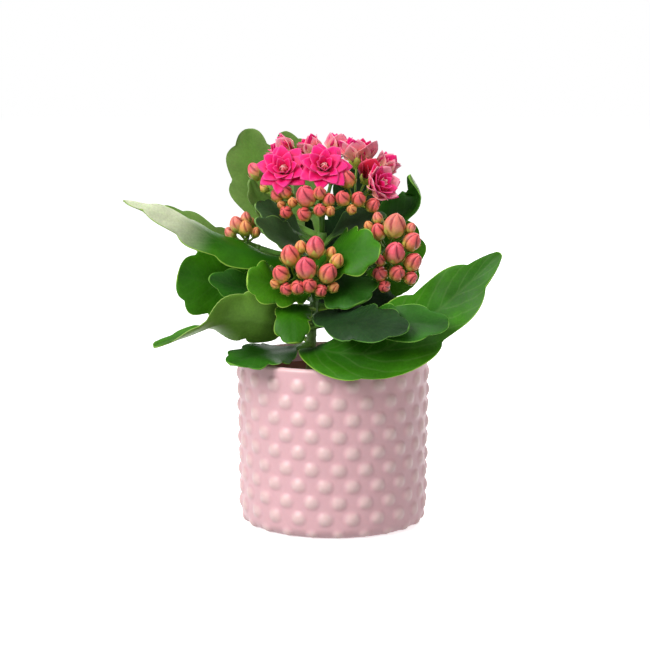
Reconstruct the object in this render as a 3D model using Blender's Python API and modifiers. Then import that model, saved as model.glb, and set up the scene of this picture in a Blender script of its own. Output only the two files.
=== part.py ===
"""Potted kalanchoe: a double-flowered Kalanchoe blossfeldiana in a hobnail cover pot."""

import math

import bmesh
import bpy
from mathutils import Matrix, Vector

MM = 0.001
GAP = 0.35 * MM  # between pieces that touch on the real plant

# Cover pot: +Z up, the middle of its underside at the origin, its front towards -Y.
POT_HEIGHT = 76.6 * MM
POT_TOP_RADIUS = 43.2 * MM
POT_FOOT_RADIUS = 42.0 * MM
POT_WALL = 3.5 * MM
POT_FLOOR = 4.0 * MM
POT_FOOT_ROUNDING = 6.0 * MM
POT_LIP_ROUNDING = 1.6 * MM
POT_INNER_CORNER = 3.0 * MM
POT_SIDES = 44

HOBNAIL_AROUND = 12.3 * MM
HOBNAIL_DOWN = 7.41 * MM
HOBNAIL_TOP_BAND = 7.7 * MM
HOBNAIL_FOOT_BAND = 2.0 * MM
HOBNAIL_ROOT_RADIUS = 4.2 * MM
HOBNAIL_TOP_RADIUS = 2.0 * MM
HOBNAIL_HEIGHT = 1.25 * MM
HOBNAIL_ROOT = 1.2 * MM
FOOT_HOBNAIL_SCALE = 0.7  # the row on the rounded foot is smaller and flatter
HOBNAIL_TURN = math.radians(-5.0)
HOBNAIL_SIDES = 5

GROWER_CLEARANCE = 1.5 * MM
GROWER_BELOW_RIM = 8.25 * MM
GROWER_HEIGHT = POT_HEIGHT - GROWER_BELOW_RIM - POT_FLOOR - GAP
GROWER_WALL = 0.9 * MM
GROWER_TAPER = 8.0 * MM
GROWER_RIM_WIDTH = 2.0 * MM
GROWER_RIM_DEPTH = 6.0 * MM
GROWER_HOLES = 5
GROWER_HOLE_RADIUS = 3.5 * MM
GROWER_HOLE_RING = 0.6  # share of the floor's radius
GROWER_SIDES = 32

SOIL_BELOW_RIM = 5.0 * MM
SOIL_CROWN = 2.5 * MM
STEM_BURIED = 14.0 * MM
SOIL_SIDES = 24

# The plant's points below are given for a pot with its rim this high and this wide. The plant rises
# with the pot's rim and grows with its width, so the leaves that hang over the rim keep clear of it
# and of each other.
PLANTED_RIM_HEIGHT = 76.6 * MM
PLANTED_RIM_RADIUS = 43.2 * MM
PLANT_SIZE = POT_TOP_RADIUS / PLANTED_RIM_RADIUS

STEM_FOOT = (-11.0 * MM, 0.0)
STEM_TOP = (-5.0 * MM, 0.0)
STEM_TOP_HEIGHT = POT_HEIGHT + (133.0 * MM - PLANTED_RIM_HEIGHT) * PLANT_SIZE
STEM_BEND = 1.5 * MM
STEM_RADIUS = 2.2 * MM
STEM_STATIONS = 9

LEAF_THICKNESS = 1.6 * MM
PETIOLE_HALF_WIDTH = 1.8 * MM
LEAF_TIP_HALF_WIDTH = 0.9 * MM
LEAF_LOBES = 5
LEAF_NOTCH = 0.10
LEAF_STATIONS = (0.0, 0.1, 0.22, 0.36, 0.5, 0.64, 0.77, 0.88, 0.96, 1.0)  # shares of the blade
MIDRIB_STEPS = 8

# Each leaf: the height of its node on the stem, the points of its midrib from there to the tip, the
# ways its upper face looks along it, its width, petiole length, widest place along the blade, how
# blunt its tip is, and how far the two halves fold and the blade cups towards the upper face, in
# degrees. Lengths in millimetres.
LEAVES = {
    "leaf_left_long": dict(
        node=120.5, rib=[(-30, -12, 123), (-52, -19, 131), (-74, -25, 143), (-92, -28, 149.5)],
        faces=[(0.1, -0.3, 0.95), (0.2, -0.6, 0.8), (0.3, -0.8, 0.5)],
        width=21, petiole=12, widest=0.36, blunt=1.35, fold=-12, cup=-10),
    "leaf_left_behind": dict(
        node=116, rib=[(-30, 12, 118.5), (-54, 18, 124.5), (-79, 17, 143)],
        faces=[(0.2, -0.5, 0.9), (0.3, -0.9, 0.4)],
        width=20, petiole=12, widest=0.5, blunt=2.0, fold=8, cup=10),
    "leaf_left_broad": dict(
        node=109, rib=[(-30, 1, 107), (-50, -1, 109), (-70.5, -6, 114)],
        faces=[(-0.1, -0.9, 0.4), (-0.2, -0.95, 0.2)],
        width=35, petiole=12, widest=0.58, blunt=2.6, fold=6, cup=-8),
    "leaf_left_small": dict(
        node=105, rib=[(-24, -12, 107.5), (-40, -21, 110), (-55, -26, 115)],
        faces=[(0.0, -0.85, 0.5), (0.0, -0.9, 0.4)],
        width=17, petiole=10, widest=0.5, blunt=2.2, fold=8, cup=14),
    "leaf_left_drooping": dict(
        node=90.5, rib=[(-25, -20.5, 94.3), (-42, -29, 97.4), (-60, -34, 92.4), (-79, -37, 86.2)],
        faces=[(0.1, 0.8, 0.6), (0.0, 1.0, 0.05), (0.0, 1.0, 0.2), (-0.1, 0.1, 1.0), (-0.2, -0.3, 0.9)],
        width=27, petiole=9, widest=0.4, blunt=1.7, fold=6, cup=16),
    "leaf_left_low": dict(
        node=82, rib=[(-22, -16, 81), (-33, -29, 81.1), (-45, -42, 79)],
        faces=[(0.0, -0.6, 0.8), (-0.45, -0.7, 0.55)],
        width=20, petiole=9, widest=0.55, blunt=2.4, fold=6, cup=-14),
    "leaf_front_left": dict(
        node=111.5, rib=[(-17, -16, 109.5), (-27, -27, 112.5), (-38, -33, 115.5)],
        faces=[(0.0, -0.6, 0.8), (-0.2, -0.9, 0.4)],
        width=23, petiole=6, widest=0.55, blunt=2.6, fold=4, cup=-10),
    "leaf_front_center": dict(
        node=98, rib=[(-13, -15, 100.5), (-18, -29.5, 98.5), (-17.5, -37, 87.5)],
        faces=[(0.0, -0.3, 0.95), (0.0, -0.98, 0.2)],
        width=17, petiole=10, widest=0.6, blunt=2.8, fold=4, cup=-12),
    "leaf_front_upper": dict(
        node=121, rib=[(-2, -18, 125), (8, -30, 127), (20.5, -38, 128)],
        faces=[(0.1, -0.85, 0.5), (0.1, -0.92, 0.35)],
        width=28, petiole=5, widest=0.36, blunt=2.2, fold=4, cup=-12),
    "leaf_front_right": dict(
        node=115, rib=[(0, -13.5, 113.4), (5.5, -26, 111), (11.5, -36, 104.8)],
        faces=[(0.0, -0.5, 0.85), (0.2, -0.95, 0.2)],
        width=29, petiole=9, widest=0.5, blunt=2.6, fold=4, cup=-10),
    "leaf_low_inner": dict(
        node=94.5, rib=[(-4, -24, 99.2), (10, -46, 98.2), (32, -61, 97.7)],
        faces=[(0.0, -0.5, 0.85), (0.1, -0.8, 0.6)],
        width=25, petiole=15, widest=0.5, blunt=2.0, fold=6, cup=-10),
    "leaf_low_outer": dict(
        node=89.5, rib=[(4, -29, 95.6), (23, -49, 97.7), (49.5, -54, 98.5)],
        faces=[(0.0, -0.5, 0.85), (0.0, -0.8, 0.6)],
        width=21, petiole=12, widest=0.62, blunt=2.4, fold=6, cup=8),
    "leaf_right_long": dict(
        node=78.5,
        rib=[(-8, -25, 83.3), (3, -40.5, 83.6), (22, -45.4, 86), (47, -38.5, 103.3), (73, -36, 127)],
        faces=[
            (-0.1, -0.3, 0.95), (0, -0.7, 0.7), (-0.1, -0.78, 0.6),
            (-0.15, -0.87, 0.5), (-0.3, -0.9, 0.3),
        ],
        width=31.5, petiole=9, widest=0.5, blunt=1.7, fold=2, cup=14),
    "leaf_right_small": dict(
        node=104, rib=[(4, -9, 104), (16, -16, 105), (28.5, -20, 103.5)],
        faces=[(0.1, -0.5, 0.85), (0.2, -0.8, 0.6)],
        width=15, petiole=8, widest=0.6, blunt=2.2, fold=4, cup=-14),
    "leaf_right_broad": dict(
        node=98, rib=[(10, 3, 101), (24, 6, 112), (33, 10, 138)],
        faces=[(-0.2, -0.6, 0.75), (-0.1, -0.98, 0.1)],
        width=30, petiole=12, widest=0.55, blunt=2.6, fold=4, cup=8),
    "leaf_right_curled": dict(
        node=122, rib=[(14, 3, 131), (29, 4, 138), (39, 3, 148), (34.5, 1, 159)],
        faces=[(-0.2, -0.7, 0.7), (-0.6, -0.6, 0.5), (-0.9, -0.4, 0.0)],
        width=25, petiole=8, widest=0.45, blunt=1.8, fold=22, cup=14),
    "leaf_back_left_tall": dict(
        node=124, rib=[(-16, 10, 128), (-28, 18, 141), (-36, 22, 158), (-39, 24, 179)],
        faces=[(0.3, -0.7, 0.6), (0.05, -1.0, 0.1)],
        width=31, petiole=9, widest=0.45, blunt=2.2, fold=6, cup=10),
    "leaf_back_top": dict(
        node=129, rib=[(-8, 16, 137), (-13, 30, 156), (-24, 33, 177)],
        faces=[(0.1, -0.8, 0.5), (0.05, -1.0, 0.0)],
        width=20, petiole=14, widest=0.6, blunt=2.0, fold=4, cup=8),
    "bract_left_upper": dict(
        node=131, rib=[(-22, 3, 138), (-33, 0, 147), (-37.5, -3, 157)],
        faces=[(0.2, -0.8, 0.5), (0.3, -0.95, 0.1)],
        width=12, petiole=8, widest=0.55, blunt=1.8, fold=8, cup=10),
    "bract_left_mid": dict(
        node=127, rib=[(-17, -4, 134), (-26, -7, 141), (-35, -10, 146.5)],
        faces=[(0.1, -0.5, 0.85), (0.1, -0.8, 0.6)],
        width=15, petiole=7, widest=0.5, blunt=2.0, fold=8, cup=10),
    "bract_left_low": dict(
        node=123, rib=[(-14, -12, 126.5), (-24, -20, 133.5), (-34.5, -26, 141)],
        faces=[(0.1, -0.5, 0.85), (0.1, -0.8, 0.6)],
        width=18, petiole=4, widest=0.45, blunt=1.8, fold=8, cup=10),
    "bract_right": dict(
        node=127, rib=[(3, -4, 134), (12, -5, 138.5), (24, -4, 141)],
        faces=[(0.0, -0.5, 0.85), (0.0, -0.6, 0.8)],
        width=16, petiole=5, widest=0.5, blunt=1.8, fold=10, cup=14),
    "leaf_back_low_left": dict(
        node=83, rib=[(-24, 15, 87), (-40, 30, 90), (-56, 44, 86)],
        faces=[(-0.3, 0.3, 0.9), (-0.5, 0.4, 0.8)],
        width=26, petiole=11, widest=0.5, blunt=2.2, fold=6, cup=8),
    "leaf_back_low": dict(
        node=86, rib=[(-10, 20, 92), (-8, 42, 94), (-6, 66, 87)],
        faces=[(0.0, -0.1, 1.0), (0.0, 0.6, 0.8)],
        width=28, petiole=11, widest=0.5, blunt=2.2, fold=6, cup=-8),
    "leaf_back_low_right": dict(
        node=90, rib=[(6, 16, 93), (26, 33, 95), (46, 48, 92)],
        faces=[(0.0, -0.1, 1.0), (0.4, 0.4, 0.8)],
        width=26, petiole=11, widest=0.5, blunt=2.2, fold=6, cup=8),
    "leaf_back_middle": dict(
        node=98, rib=[(-7, 13, 102), (-11, 22, 115), (-14, 28, 139)],
        faces=[(0.0, -0.8, 0.6), (0.0, -1.0, 0.2)],
        width=31, petiole=4, widest=0.36, blunt=2.2, fold=8, cup=-8),
    "leaf_back_upright": dict(
        node=115, rib=[(2, 14, 121), (11, 22, 138), (15, 26, 162)],
        faces=[(0.0, -0.8, 0.6), (0.05, -1.0, 0.1)],
        width=32, petiole=6, widest=0.55, blunt=2.2, fold=6, cup=10),
}

PETALS = 8
PETAL_NOTCH = 0.16
BUD_RIBS = 4
BUD_RIB_DEPTH = 0.06
BUD_SLENDERNESS = 1.2
STALK_RADIUS = 1.3 * MM
BRANCH_RADIUS = 0.95 * MM
PEDICEL_RADIUS = 0.6 * MM

# Each flower head: where its stalk leaves the stem, the points the stalk passes, its forks,
# the open flowers (centre, radius, height of the dome, depth to the calyx), the large buds (centre,
# width) and the small buds that stay one piece with the stalk. Lengths in millimetres.
HEADS = {
    "top": dict(
        start=133, route=[(-5, -1, 141)],
        forks=dict(left=(-17, -8, 148), middle=(-6, -11, 147), right=(10, -7, 148), back=(-1, 3, 155)),
        flowers=dict(
            flower_front_left=("left", (-21.8, -18.0, 162.5), 9.2, 3.0, 6.0),
            flower_front_right=("middle", (-4.1, -22.0, 163.8), 9.2, 3.0, 6.0),
            flower_back_left=("back", (-22.0, 4.0, 170.0), 5.0, 5.0, 6.0),
            flower_top_right=("right", (11.5, 1.0, 169.0), 7.0, 4.0, 5.5),
            flower_tulip=("right", (17.0, -4.0, 161.0), 5.0, 4.0, 5.5),
            flower_top=("back", (3.0, 9.0, 171.0), 5.2, 5.0, 6.0),
            flower_right_low=("right", (20.5, -16.0, 154.5), 6.4, 4.0, 6.0),
            flower_right_back=("right", (25.0, 5.0, 163.5), 5.0, 4.5, 6.0),
            flower_back=("back", (-10.0, 11.0, 171.0), 5.2, 4.0, 6.0),
        ),
        buds=dict(
            bud_top_1=("middle", (-12.0, -26.0, 151.5), 8.0),
            bud_top_2=("right", (6.0, -21.0, 158.5), 6.6),
            bud_top_3=("left", (-35.0, -6.0, 161.0), 6.2),
        ),
        small_buds=[
            ("left", (-25.0, -17.0, 151.0), 5.0), ("left", (-21.0, -21.0, 153.0), 5.0),
            ("middle", (-6.0, -28.0, 153.0), 5.0), ("middle", (-2.0, -27.0, 150.0), 5.0),
            ("left", (-18.0, -23.0, 148.5), 3.9), ("left", (-23.0, -19.0, 147.0), 3.4),
            ("left", (-21.0, -22.0, 144.0), 5.0), ("middle", (-13.0, -26.0, 143.5), 5.6),
            ("middle", (-6.0, -28.0, 145.5), 5.0), ("middle", (-1.5, -27.0, 145.0), 4.2),
            ("right", (4.0, -26.0, 150.5), 5.8), ("right", (8.0, -26.0, 145.5), 4.0),
            ("right", (11.0, -24.0, 150.0), 5.8), ("right", (17.5, -20.5, 147.0), 5.6),
            ("left", (-31.0, -6.0, 153.5), 3.6),
        ],
    ),
    "front": dict(
        start=102, route=[(-8.5, -13, 105), (-9.5, -20, 110)],
        forks=dict(left=(-16.5, -25, 115), right=(-9.5, -25, 114.5)),
        flowers={},
        buds=dict(
            bud_front_1=("left", (-19.0, -33.5, 126.0), 7.4),
            bud_front_2=("right", (-8.0, -32.5, 129.5), 7.6),
            bud_front_3=("right", (-12.0, -38.0, 121.0), 8.2),
            bud_front_4=("left", (-23.0, -35.0, 118.0), 6.6),
            bud_front_5=("right", (-2.5, -36.0, 118.5), 7.4),
        ),
        small_buds=[
            ("left", (-14.4, -32.0, 129.5), 4.6), ("right", (-1.0, -31.0, 127.0), 4.1),
            ("right", (1.5, -33.0, 123.5), 5.4), ("left", (-15.5, -37.5, 112.5), 5.6),
            ("right", (-10.5, -38.0, 113.5), 5.8), ("left", (-25.5, -33.0, 113.5), 4.0),
            ("left", (-20.5, -35.0, 111.5), 5.2), ("right", (-5.5, -36.5, 111.0), 5.0),
            ("right", (0.0, -34.0, 112.0), 4.3),
        ],
    ),
    "right": dict(
        start=109, route=[(6, -5, 112), (17, -9, 119)],
        forks=dict(upper=(23, -15, 128), lower=(23, -16, 120)),
        flowers={},
        buds=dict(
            bud_right_1=("upper", (27.0, -27.0, 138.5), 8.8),
            bud_right_2=("upper", (19.8, -24.5, 135.6), 6.2),
            bud_right_3=("upper", (34.5, -27.5, 131.5), 7.0),
            bud_right_4=("lower", (27.0, -31.0, 127.0), 8.0),
            bud_right_5=("lower", (35.0, -28.0, 122.5), 7.0),
        ),
        small_buds=[
            ("upper", (19.5, -23.0, 141.5), 4.2), ("upper", (15.5, -24.5, 138.0), 3.8),
            ("upper", (34.0, -27.0, 137.5), 3.9), ("lower", (20.5, -29.5, 123.5), 4.4),
            ("lower", (20.5, -28.5, 117.5), 6.0), ("lower", (28.0, -30.5, 118.0), 6.2),
            ("lower", (34.0, -28.5, 115.5), 5.2), ("lower", (22.5, -28.0, 111.8), 4.8),
        ],
    ),
    "left": dict(
        start=124, route=[(-22, -1, 123), (-34, 0, 126)],
        forks=dict(only=(-39, -1, 129)),
        flowers={},
        buds={},
        small_buds=[
            ("only", (-43.5, -5.0, 137.0), 6.0), ("only", (-46.5, -3.0, 133.0), 4.6),
            ("only", (-39.5, -6.5, 135.5), 5.6), ("only", (-35.0, -5.5, 133.5), 4.0),
            ("only", (-39.5, -2.0, 139.5), 4.6), ("only", (-43.5, 1.5, 136.0), 5.0),
            ("only", (-37.5, 2.5, 136.5), 4.6),
        ],
    ),
}


def clear_scene():
    for old in list(bpy.data.objects):
        bpy.data.objects.remove(old, do_unlink=True)


def new_collection(name):
    collection = bpy.data.collections.new(name)
    bpy.context.scene.collection.children.link(collection)
    return collection


def new_material(name, colour, roughness):
    material = bpy.data.materials.new(name)
    material.use_nodes = True
    material.diffuse_color = (*colour, 1.0)
    shader = material.node_tree.nodes["Principled BSDF"]
    shader.inputs["Base Color"].default_value = (*colour, 1.0)
    shader.inputs["Roughness"].default_value = roughness
    shader.inputs["Metallic"].default_value = 0.0
    return material


def add_object(name, bm, collection, material=None):
    """Turns a bmesh into a named object."""
    mesh = bpy.data.meshes.new(name)
    bm.to_mesh(mesh)
    bm.free()
    mesh.shade_smooth()
    piece = bpy.data.objects.new(name, mesh)
    collection.objects.link(piece)
    if material:
        mesh.materials.append(material)
    return piece


def make_cutter(cutter):
    cutter.hide_render = True
    cutter.display_type = "WIRE"


def add_boolean(piece, cutter, operation, use_self=False):
    boolean = piece.modifiers.new(operation.lower(), "BOOLEAN")
    boolean.object = cutter
    boolean.operation = operation
    boolean.solver = "EXACT"
    boolean.use_self = use_self


def plant_length(millimetres):
    """A length from the plant's tables, on the plant that fits the pot as it is."""
    return millimetres * MM * PLANT_SIZE


def plant_height(millimetres):
    return POT_HEIGHT + (millimetres * MM - PLANTED_RIM_HEIGHT) * PLANT_SIZE


def plant_point(point):
    x, y, height = point
    return Vector((plant_length(x), plant_length(y), plant_height(height)))


def turned(name, profile, sides, collection, material):
    """A turned solid: the profile starts and ends on the axis and runs down its outer side."""
    bm = bmesh.new()
    points = [bm.verts.new((radius, 0.0, height)) for radius, height in profile]
    for first, second in zip(points, points[1:]):
        bm.edges.new((first, second))
    piece = add_object(name, bm, collection, material)
    screw = piece.modifiers.new("turn", "SCREW")
    screw.axis = "Z"
    screw.steps = sides
    screw.render_steps = sides
    screw.use_merge_vertices = True
    screw.merge_threshold = 0.00001
    return piece


def arc(centre, radius, start, end, steps):
    """Points of an arc in a profile, from one angle to another in degrees."""
    angles = [math.radians(start + (end - start) * step / steps) for step in range(steps + 1)]
    return [(centre[0] + radius * math.cos(a), centre[1] + radius * math.sin(a)) for a in angles]


def pot_radius(height):
    """Outer radius of the cover pot's plain wall."""
    return POT_FOOT_RADIUS + (POT_TOP_RADIUS - POT_FOOT_RADIUS) * height / POT_HEIGHT


def pot_inner_radius(height):
    return pot_radius(height) - POT_WALL


def pot_profile():
    inner_floor = [(0.0, POT_FLOOR), (pot_inner_radius(POT_FLOOR) - POT_INNER_CORNER, POT_FLOOR)]
    corner_top = POT_FLOOR + POT_INNER_CORNER
    inner_corner = [(pot_inner_radius(corner_top), corner_top)]
    inner_lip = arc(
        (pot_inner_radius(POT_HEIGHT) + POT_LIP_ROUNDING, POT_HEIGHT - POT_LIP_ROUNDING),
        POT_LIP_ROUNDING, 180, 90, 3,
    )
    outer_lip = arc(
        (POT_TOP_RADIUS - POT_LIP_ROUNDING, POT_HEIGHT - POT_LIP_ROUNDING), POT_LIP_ROUNDING, 80, 0, 3
    )
    foot = arc(
        (pot_radius(POT_FOOT_ROUNDING) - POT_FOOT_ROUNDING, POT_FOOT_ROUNDING),
        POT_FOOT_ROUNDING, 0, -90, 4,
    )
    return inner_floor + inner_corner + inner_lip + outer_lip + foot + [(0.0, 0.0)]


def hobnail_places():
    """Place and outward direction of every bump, in rows that step half a space round each time."""
    around = round(2.0 * math.pi * POT_TOP_RADIUS / HOBNAIL_AROUND)
    straight = POT_HEIGHT - POT_FOOT_ROUNDING
    distance = HOBNAIL_TOP_BAND
    row = 0
    while True:
        if distance <= straight:
            tilt = 0.0
            height = POT_HEIGHT - distance
            radius = pot_radius(height)
        else:
            tilt = (distance - straight) / POT_FOOT_ROUNDING
            height = POT_FOOT_ROUNDING * (1.0 - math.sin(tilt))
            radius = pot_radius(POT_FOOT_ROUNDING) - POT_FOOT_ROUNDING * (1.0 - math.cos(tilt))
        if height < HOBNAIL_FOOT_BAND:
            return
        flat = FOOT_HOBNAIL_SCALE if tilt > 0.0 else 1.0
        for step in range(around):
            angle = HOBNAIL_TURN + 2.0 * math.pi * (step + 0.5 * (row % 2)) / around
            outward = Vector((math.sin(angle), -math.cos(angle), 0.0))
            place = outward * radius + Vector((0.0, 0.0, height))
            direction = outward * math.cos(tilt) - Vector((0.0, 0.0, math.sin(tilt)))
            yield place, direction, flat
        row += 1
        distance = HOBNAIL_TOP_BAND + row * HOBNAIL_DOWN


def add_rod(bm, start, end, start_radius, end_radius, sides):
    """A closed cone or rod between two points."""
    axis = end - start
    turn = axis.to_track_quat("Z", "Y").to_matrix().to_4x4()
    turn.translation = (start + end) / 2.0
    bmesh.ops.create_cone(
        bm, cap_ends=True, segments=sides, radius1=start_radius, radius2=end_radius,
        depth=axis.length, matrix=turn,
    )


def make_pot(collection, cutters, material):
    pot = turned("pot", pot_profile(), POT_SIDES, collection, material)
    bm = bmesh.new()
    for place, direction, flat in hobnail_places():
        top = place + direction * HOBNAIL_HEIGHT * flat
        root_radius = HOBNAIL_ROOT_RADIUS * flat
        root = place - direction * HOBNAIL_ROOT
        add_rod(bm, root, top, root_radius, HOBNAIL_TOP_RADIUS * flat, HOBNAIL_SIDES)
    bumps = add_object("hobnails", bm, cutters)
    make_cutter(bumps)
    add_boolean(pot, bumps, "UNION")
    return pot


def grower_radius(height):
    """Outer radius of the grower pot, whose rim clears the cover pot's wall."""
    top = POT_FLOOR + GAP + GROWER_HEIGHT
    rim = pot_inner_radius(top) - GROWER_CLEARANCE - GROWER_RIM_WIDTH
    return rim - GROWER_TAPER * (top - height) / GROWER_HEIGHT


def make_grower_pot(collection, cutters, material):
    foot = POT_FLOOR + GAP
    top = foot + GROWER_HEIGHT
    rim_foot = top - GROWER_RIM_DEPTH
    rim_radius = grower_radius(top) + GROWER_RIM_WIDTH
    profile = [
        (0.0, foot + GROWER_WALL),
        (grower_radius(foot) - GROWER_WALL, foot + GROWER_WALL),
        (grower_radius(top) - GROWER_WALL, top),
        (rim_radius, top),
        (rim_radius, rim_foot),
        (grower_radius(rim_foot), rim_foot),
        (grower_radius(foot), foot),
        (0.0, foot),
    ]
    liner = turned("grower_pot", profile, GROWER_SIDES, collection, material)
    bm = bmesh.new()
    ring = grower_radius(foot) * GROWER_HOLE_RING
    for step in range(GROWER_HOLES):
        angle = 2.0 * math.pi * step / GROWER_HOLES
        centre = Vector((ring * math.cos(angle), ring * math.sin(angle), foot))
        reach = Vector((0.0, 0.0, GROWER_WALL * 3.0))
        add_rod(bm, centre - reach, centre + reach, GROWER_HOLE_RADIUS, GROWER_HOLE_RADIUS, 8)
    holes = add_object("drain_holes", bm, cutters)
    make_cutter(holes)
    add_boolean(liner, holes, "DIFFERENCE")
    return liner


def soil_height():
    return POT_FLOOR + GAP + GROWER_HEIGHT - SOIL_BELOW_RIM


def make_soil(collection, cutters, material):
    foot = POT_FLOOR + 2.0 * GAP + GROWER_WALL
    top = soil_height()
    inner = GROWER_WALL + GAP
    profile = [
        (0.0, top + SOIL_CROWN),
        (grower_radius(top) * 0.55, top + SOIL_CROWN * 0.7),
        (grower_radius(top) - inner, top),
        (grower_radius(foot) - inner, foot),
        (0.0, foot),
    ]
    soil = turned("potting_soil", profile, SOIL_SIDES, collection, material)
    bm = bmesh.new()
    bottom = stem_point(soil_height() - STEM_BURIED) - Vector((0.0, 0.0, GAP))
    top_point = stem_point(soil_height() + 3.0 * SOIL_CROWN)
    radius = STEM_RADIUS * 1.1 + GAP
    add_rod(bm, bottom, top_point, radius, radius, 12)
    hole = add_object("stem_hole", bm, cutters)
    make_cutter(hole)
    add_boolean(soil, hole, "DIFFERENCE")
    return soil


def stem_point(height):
    """The stem's centre line: a slight bow from the soil to its top."""
    foot = soil_height() - STEM_BURIED
    share = (height - foot) / (STEM_TOP_HEIGHT - foot)
    x = STEM_FOOT[0] + (STEM_TOP[0] - STEM_FOOT[0]) * share
    y = STEM_FOOT[1] + (STEM_TOP[1] - STEM_FOOT[1]) * share
    bow = STEM_BEND * math.sin(math.pi * share)
    return Vector(((x - bow) * PLANT_SIZE, y * PLANT_SIZE, height))


def make_stem(collection, material):
    curve = bpy.data.curves.new("main_stem", "CURVE")
    curve.dimensions = "3D"
    curve.bevel_depth = STEM_RADIUS
    curve.bevel_resolution = 2
    curve.use_fill_caps = True
    spline = curve.splines.new("POLY")
    spline.points.add(STEM_STATIONS - 1)
    foot = soil_height() - STEM_BURIED
    for step, point in enumerate(spline.points):
        height = foot + (STEM_TOP_HEIGHT - foot) * step / (STEM_STATIONS - 1)
        point.co = (*stem_point(height), 1.0)
    curve.materials.append(material)
    stem = bpy.data.objects.new("main_stem", curve)
    collection.objects.link(stem)
    return stem


def smooth_line(points, steps):
    """Points of one smooth curve that passes through all the given points."""
    ends = [points[0] * 2.0 - points[1], *points, points[-1] * 2.0 - points[-2]]
    line = []
    for before, first, second, after in zip(ends, ends[1:], ends[2:], ends[3:]):
        for step in range(steps):
            t = step / steps
            bend = before * 2.0 - first * 5.0 + second * 4.0 - after
            turn = (first - second) * 3.0 + after - before
            line.append((first * 2.0 + (second - before) * t + bend * t**2 + turn * t**3) / 2.0)
    return line + [points[-1]]


def line_length(line):
    return sum((second - first).length for first, second in zip(line, line[1:]))


def place_on_line(line, share):
    """The point at a share of a line's length, and the line's direction there."""
    left = share * line_length(line)
    for first, second in zip(line, line[1:]):
        step = (second - first).length
        if left <= step:
            return first.lerp(second, left / step), (second - first).normalized()
        left -= step
    return line[-1], (line[-1] - line[-2]).normalized()


def mixed(vectors, share):
    """A vector between the given ones, which are spread evenly from 0 to 1."""
    position = share * (len(vectors) - 1)
    index = min(int(position), len(vectors) - 2)
    return Vector(vectors[index]).lerp(Vector(vectors[index + 1]), position - index)


def leaf_midrib(leaf):
    """The leaf's midrib, from the stem's skin to the tip."""
    centre = stem_point(plant_height(leaf["node"]))
    rib = [plant_point(point) for point in leaf["rib"]]
    heading = rib[0] - centre
    climb = heading.normalized().z
    heading.z = 0.0
    reach = STEM_RADIUS + GAP + LEAF_THICKNESS * abs(climb)
    start = centre + heading.normalized() * reach
    return smooth_line([start, *rib], MIDRIB_STEPS)


def half_width(leaf, along, length):
    """Half the leaf's width at a distance from the stem: a petiole, then a scalloped blade."""
    petiole = plant_length(leaf["petiole"])
    if along <= petiole:
        return PETIOLE_HALF_WIDTH
    share = min((along - petiole) / (length - petiole), 1.0)
    if share < leaf["widest"]:
        swell = math.sin(math.pi / 2.0 * share / leaf["widest"]) ** 0.8
    else:
        rest = (share - leaf["widest"]) / (1.0 - leaf["widest"])
        swell = max(1.0 - rest ** leaf["blunt"], 0.0) ** (1.0 / leaf["blunt"])
    scallop = abs(math.sin(math.pi * LEAF_LOBES * share)) ** 0.5
    blade = plant_length(leaf["width"]) / 2.0 * swell * (1.0 - LEAF_NOTCH * (1.0 - scallop))
    narrowest = PETIOLE_HALF_WIDTH + (LEAF_TIP_HALF_WIDTH - PETIOLE_HALF_WIDTH) * share
    return max(blade, narrowest)


def make_leaf(name, leaf, collection, material):
    """A flat grid bent along the midrib, folded and cupped across it, then thickened."""
    line = leaf_midrib(leaf)
    length = line_length(line)
    petiole_share = plant_length(leaf["petiole"]) / length
    fold = math.radians(leaf["fold"])
    cup = math.radians(leaf["cup"])
    bm = bmesh.new()
    bmesh.ops.create_grid(bm, x_segments=len(LEAF_STATIONS), y_segments=4, size=1.0)
    for vert in bm.verts:
        step = round((vert.co.x + 1.0) / 2.0 * len(LEAF_STATIONS))
        share = 0.0
        if step > 0:
            share = petiole_share + (1.0 - petiole_share) * LEAF_STATIONS[step - 1]
        across = vert.co.y
        place, along = place_on_line(line, share)
        face = mixed(leaf["faces"], share)
        face = (face - along * face.dot(along)).normalized()
        side = along.cross(face)
        half = half_width(leaf, share * length, length)
        spread = min(1.0, share / petiole_share)
        lean = (fold + cup * abs(across) / 2.0) * spread
        lift = half * abs(across) * math.sin(lean)
        vert.co = place + side * half * across * math.cos(lean) + face * lift
    piece = add_object(name, bm, collection, material)
    thick = piece.modifiers.new("thickness", "SOLIDIFY")
    thick.thickness = LEAF_THICKNESS
    thick.offset = 0.0
    return piece


def add_swelling(bm, centre, direction, width, above, below, ribs, rib_depth, detail):
    """A round body on an axis: a bud, or the spread of an open flower."""
    segments, rings = detail
    turn = direction.to_track_quat("Z", "Y").to_matrix()
    made = bmesh.ops.create_uvsphere(bm, u_segments=segments, v_segments=rings, radius=1.0)
    for vert in made["verts"]:
        angle = math.atan2(vert.co.y, vert.co.x)
        rib = 1.0 - rib_depth * (0.5 - 0.5 * math.cos(ribs * angle))
        height = vert.co.z * (above if vert.co.z > 0.0 else below)
        local = Vector((vert.co.x * width / 2.0 * rib, vert.co.y * width / 2.0 * rib, height))
        vert.co = centre + turn @ local


def make_flower(name, fork, centre, radius, dome, depth, collection, material):
    direction = (centre - fork).normalized()
    bm = bmesh.new()
    add_swelling(bm, centre, direction, radius * 2.0, dome, depth, PETALS, PETAL_NOTCH, (16, 6))
    add_object(name, bm, collection, material)
    return centre - direction * (depth + GAP)


def make_bud(name, fork, centre, width, collection, material):
    direction = (centre - fork).normalized()
    reach = width / 2.0 * BUD_SLENDERNESS
    bm = bmesh.new()
    add_swelling(bm, centre, direction, width, reach, reach, BUD_RIBS, BUD_RIB_DEPTH, (8, 6))
    add_object(name, bm, collection, material)
    return centre - direction * (reach + GAP)


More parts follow.
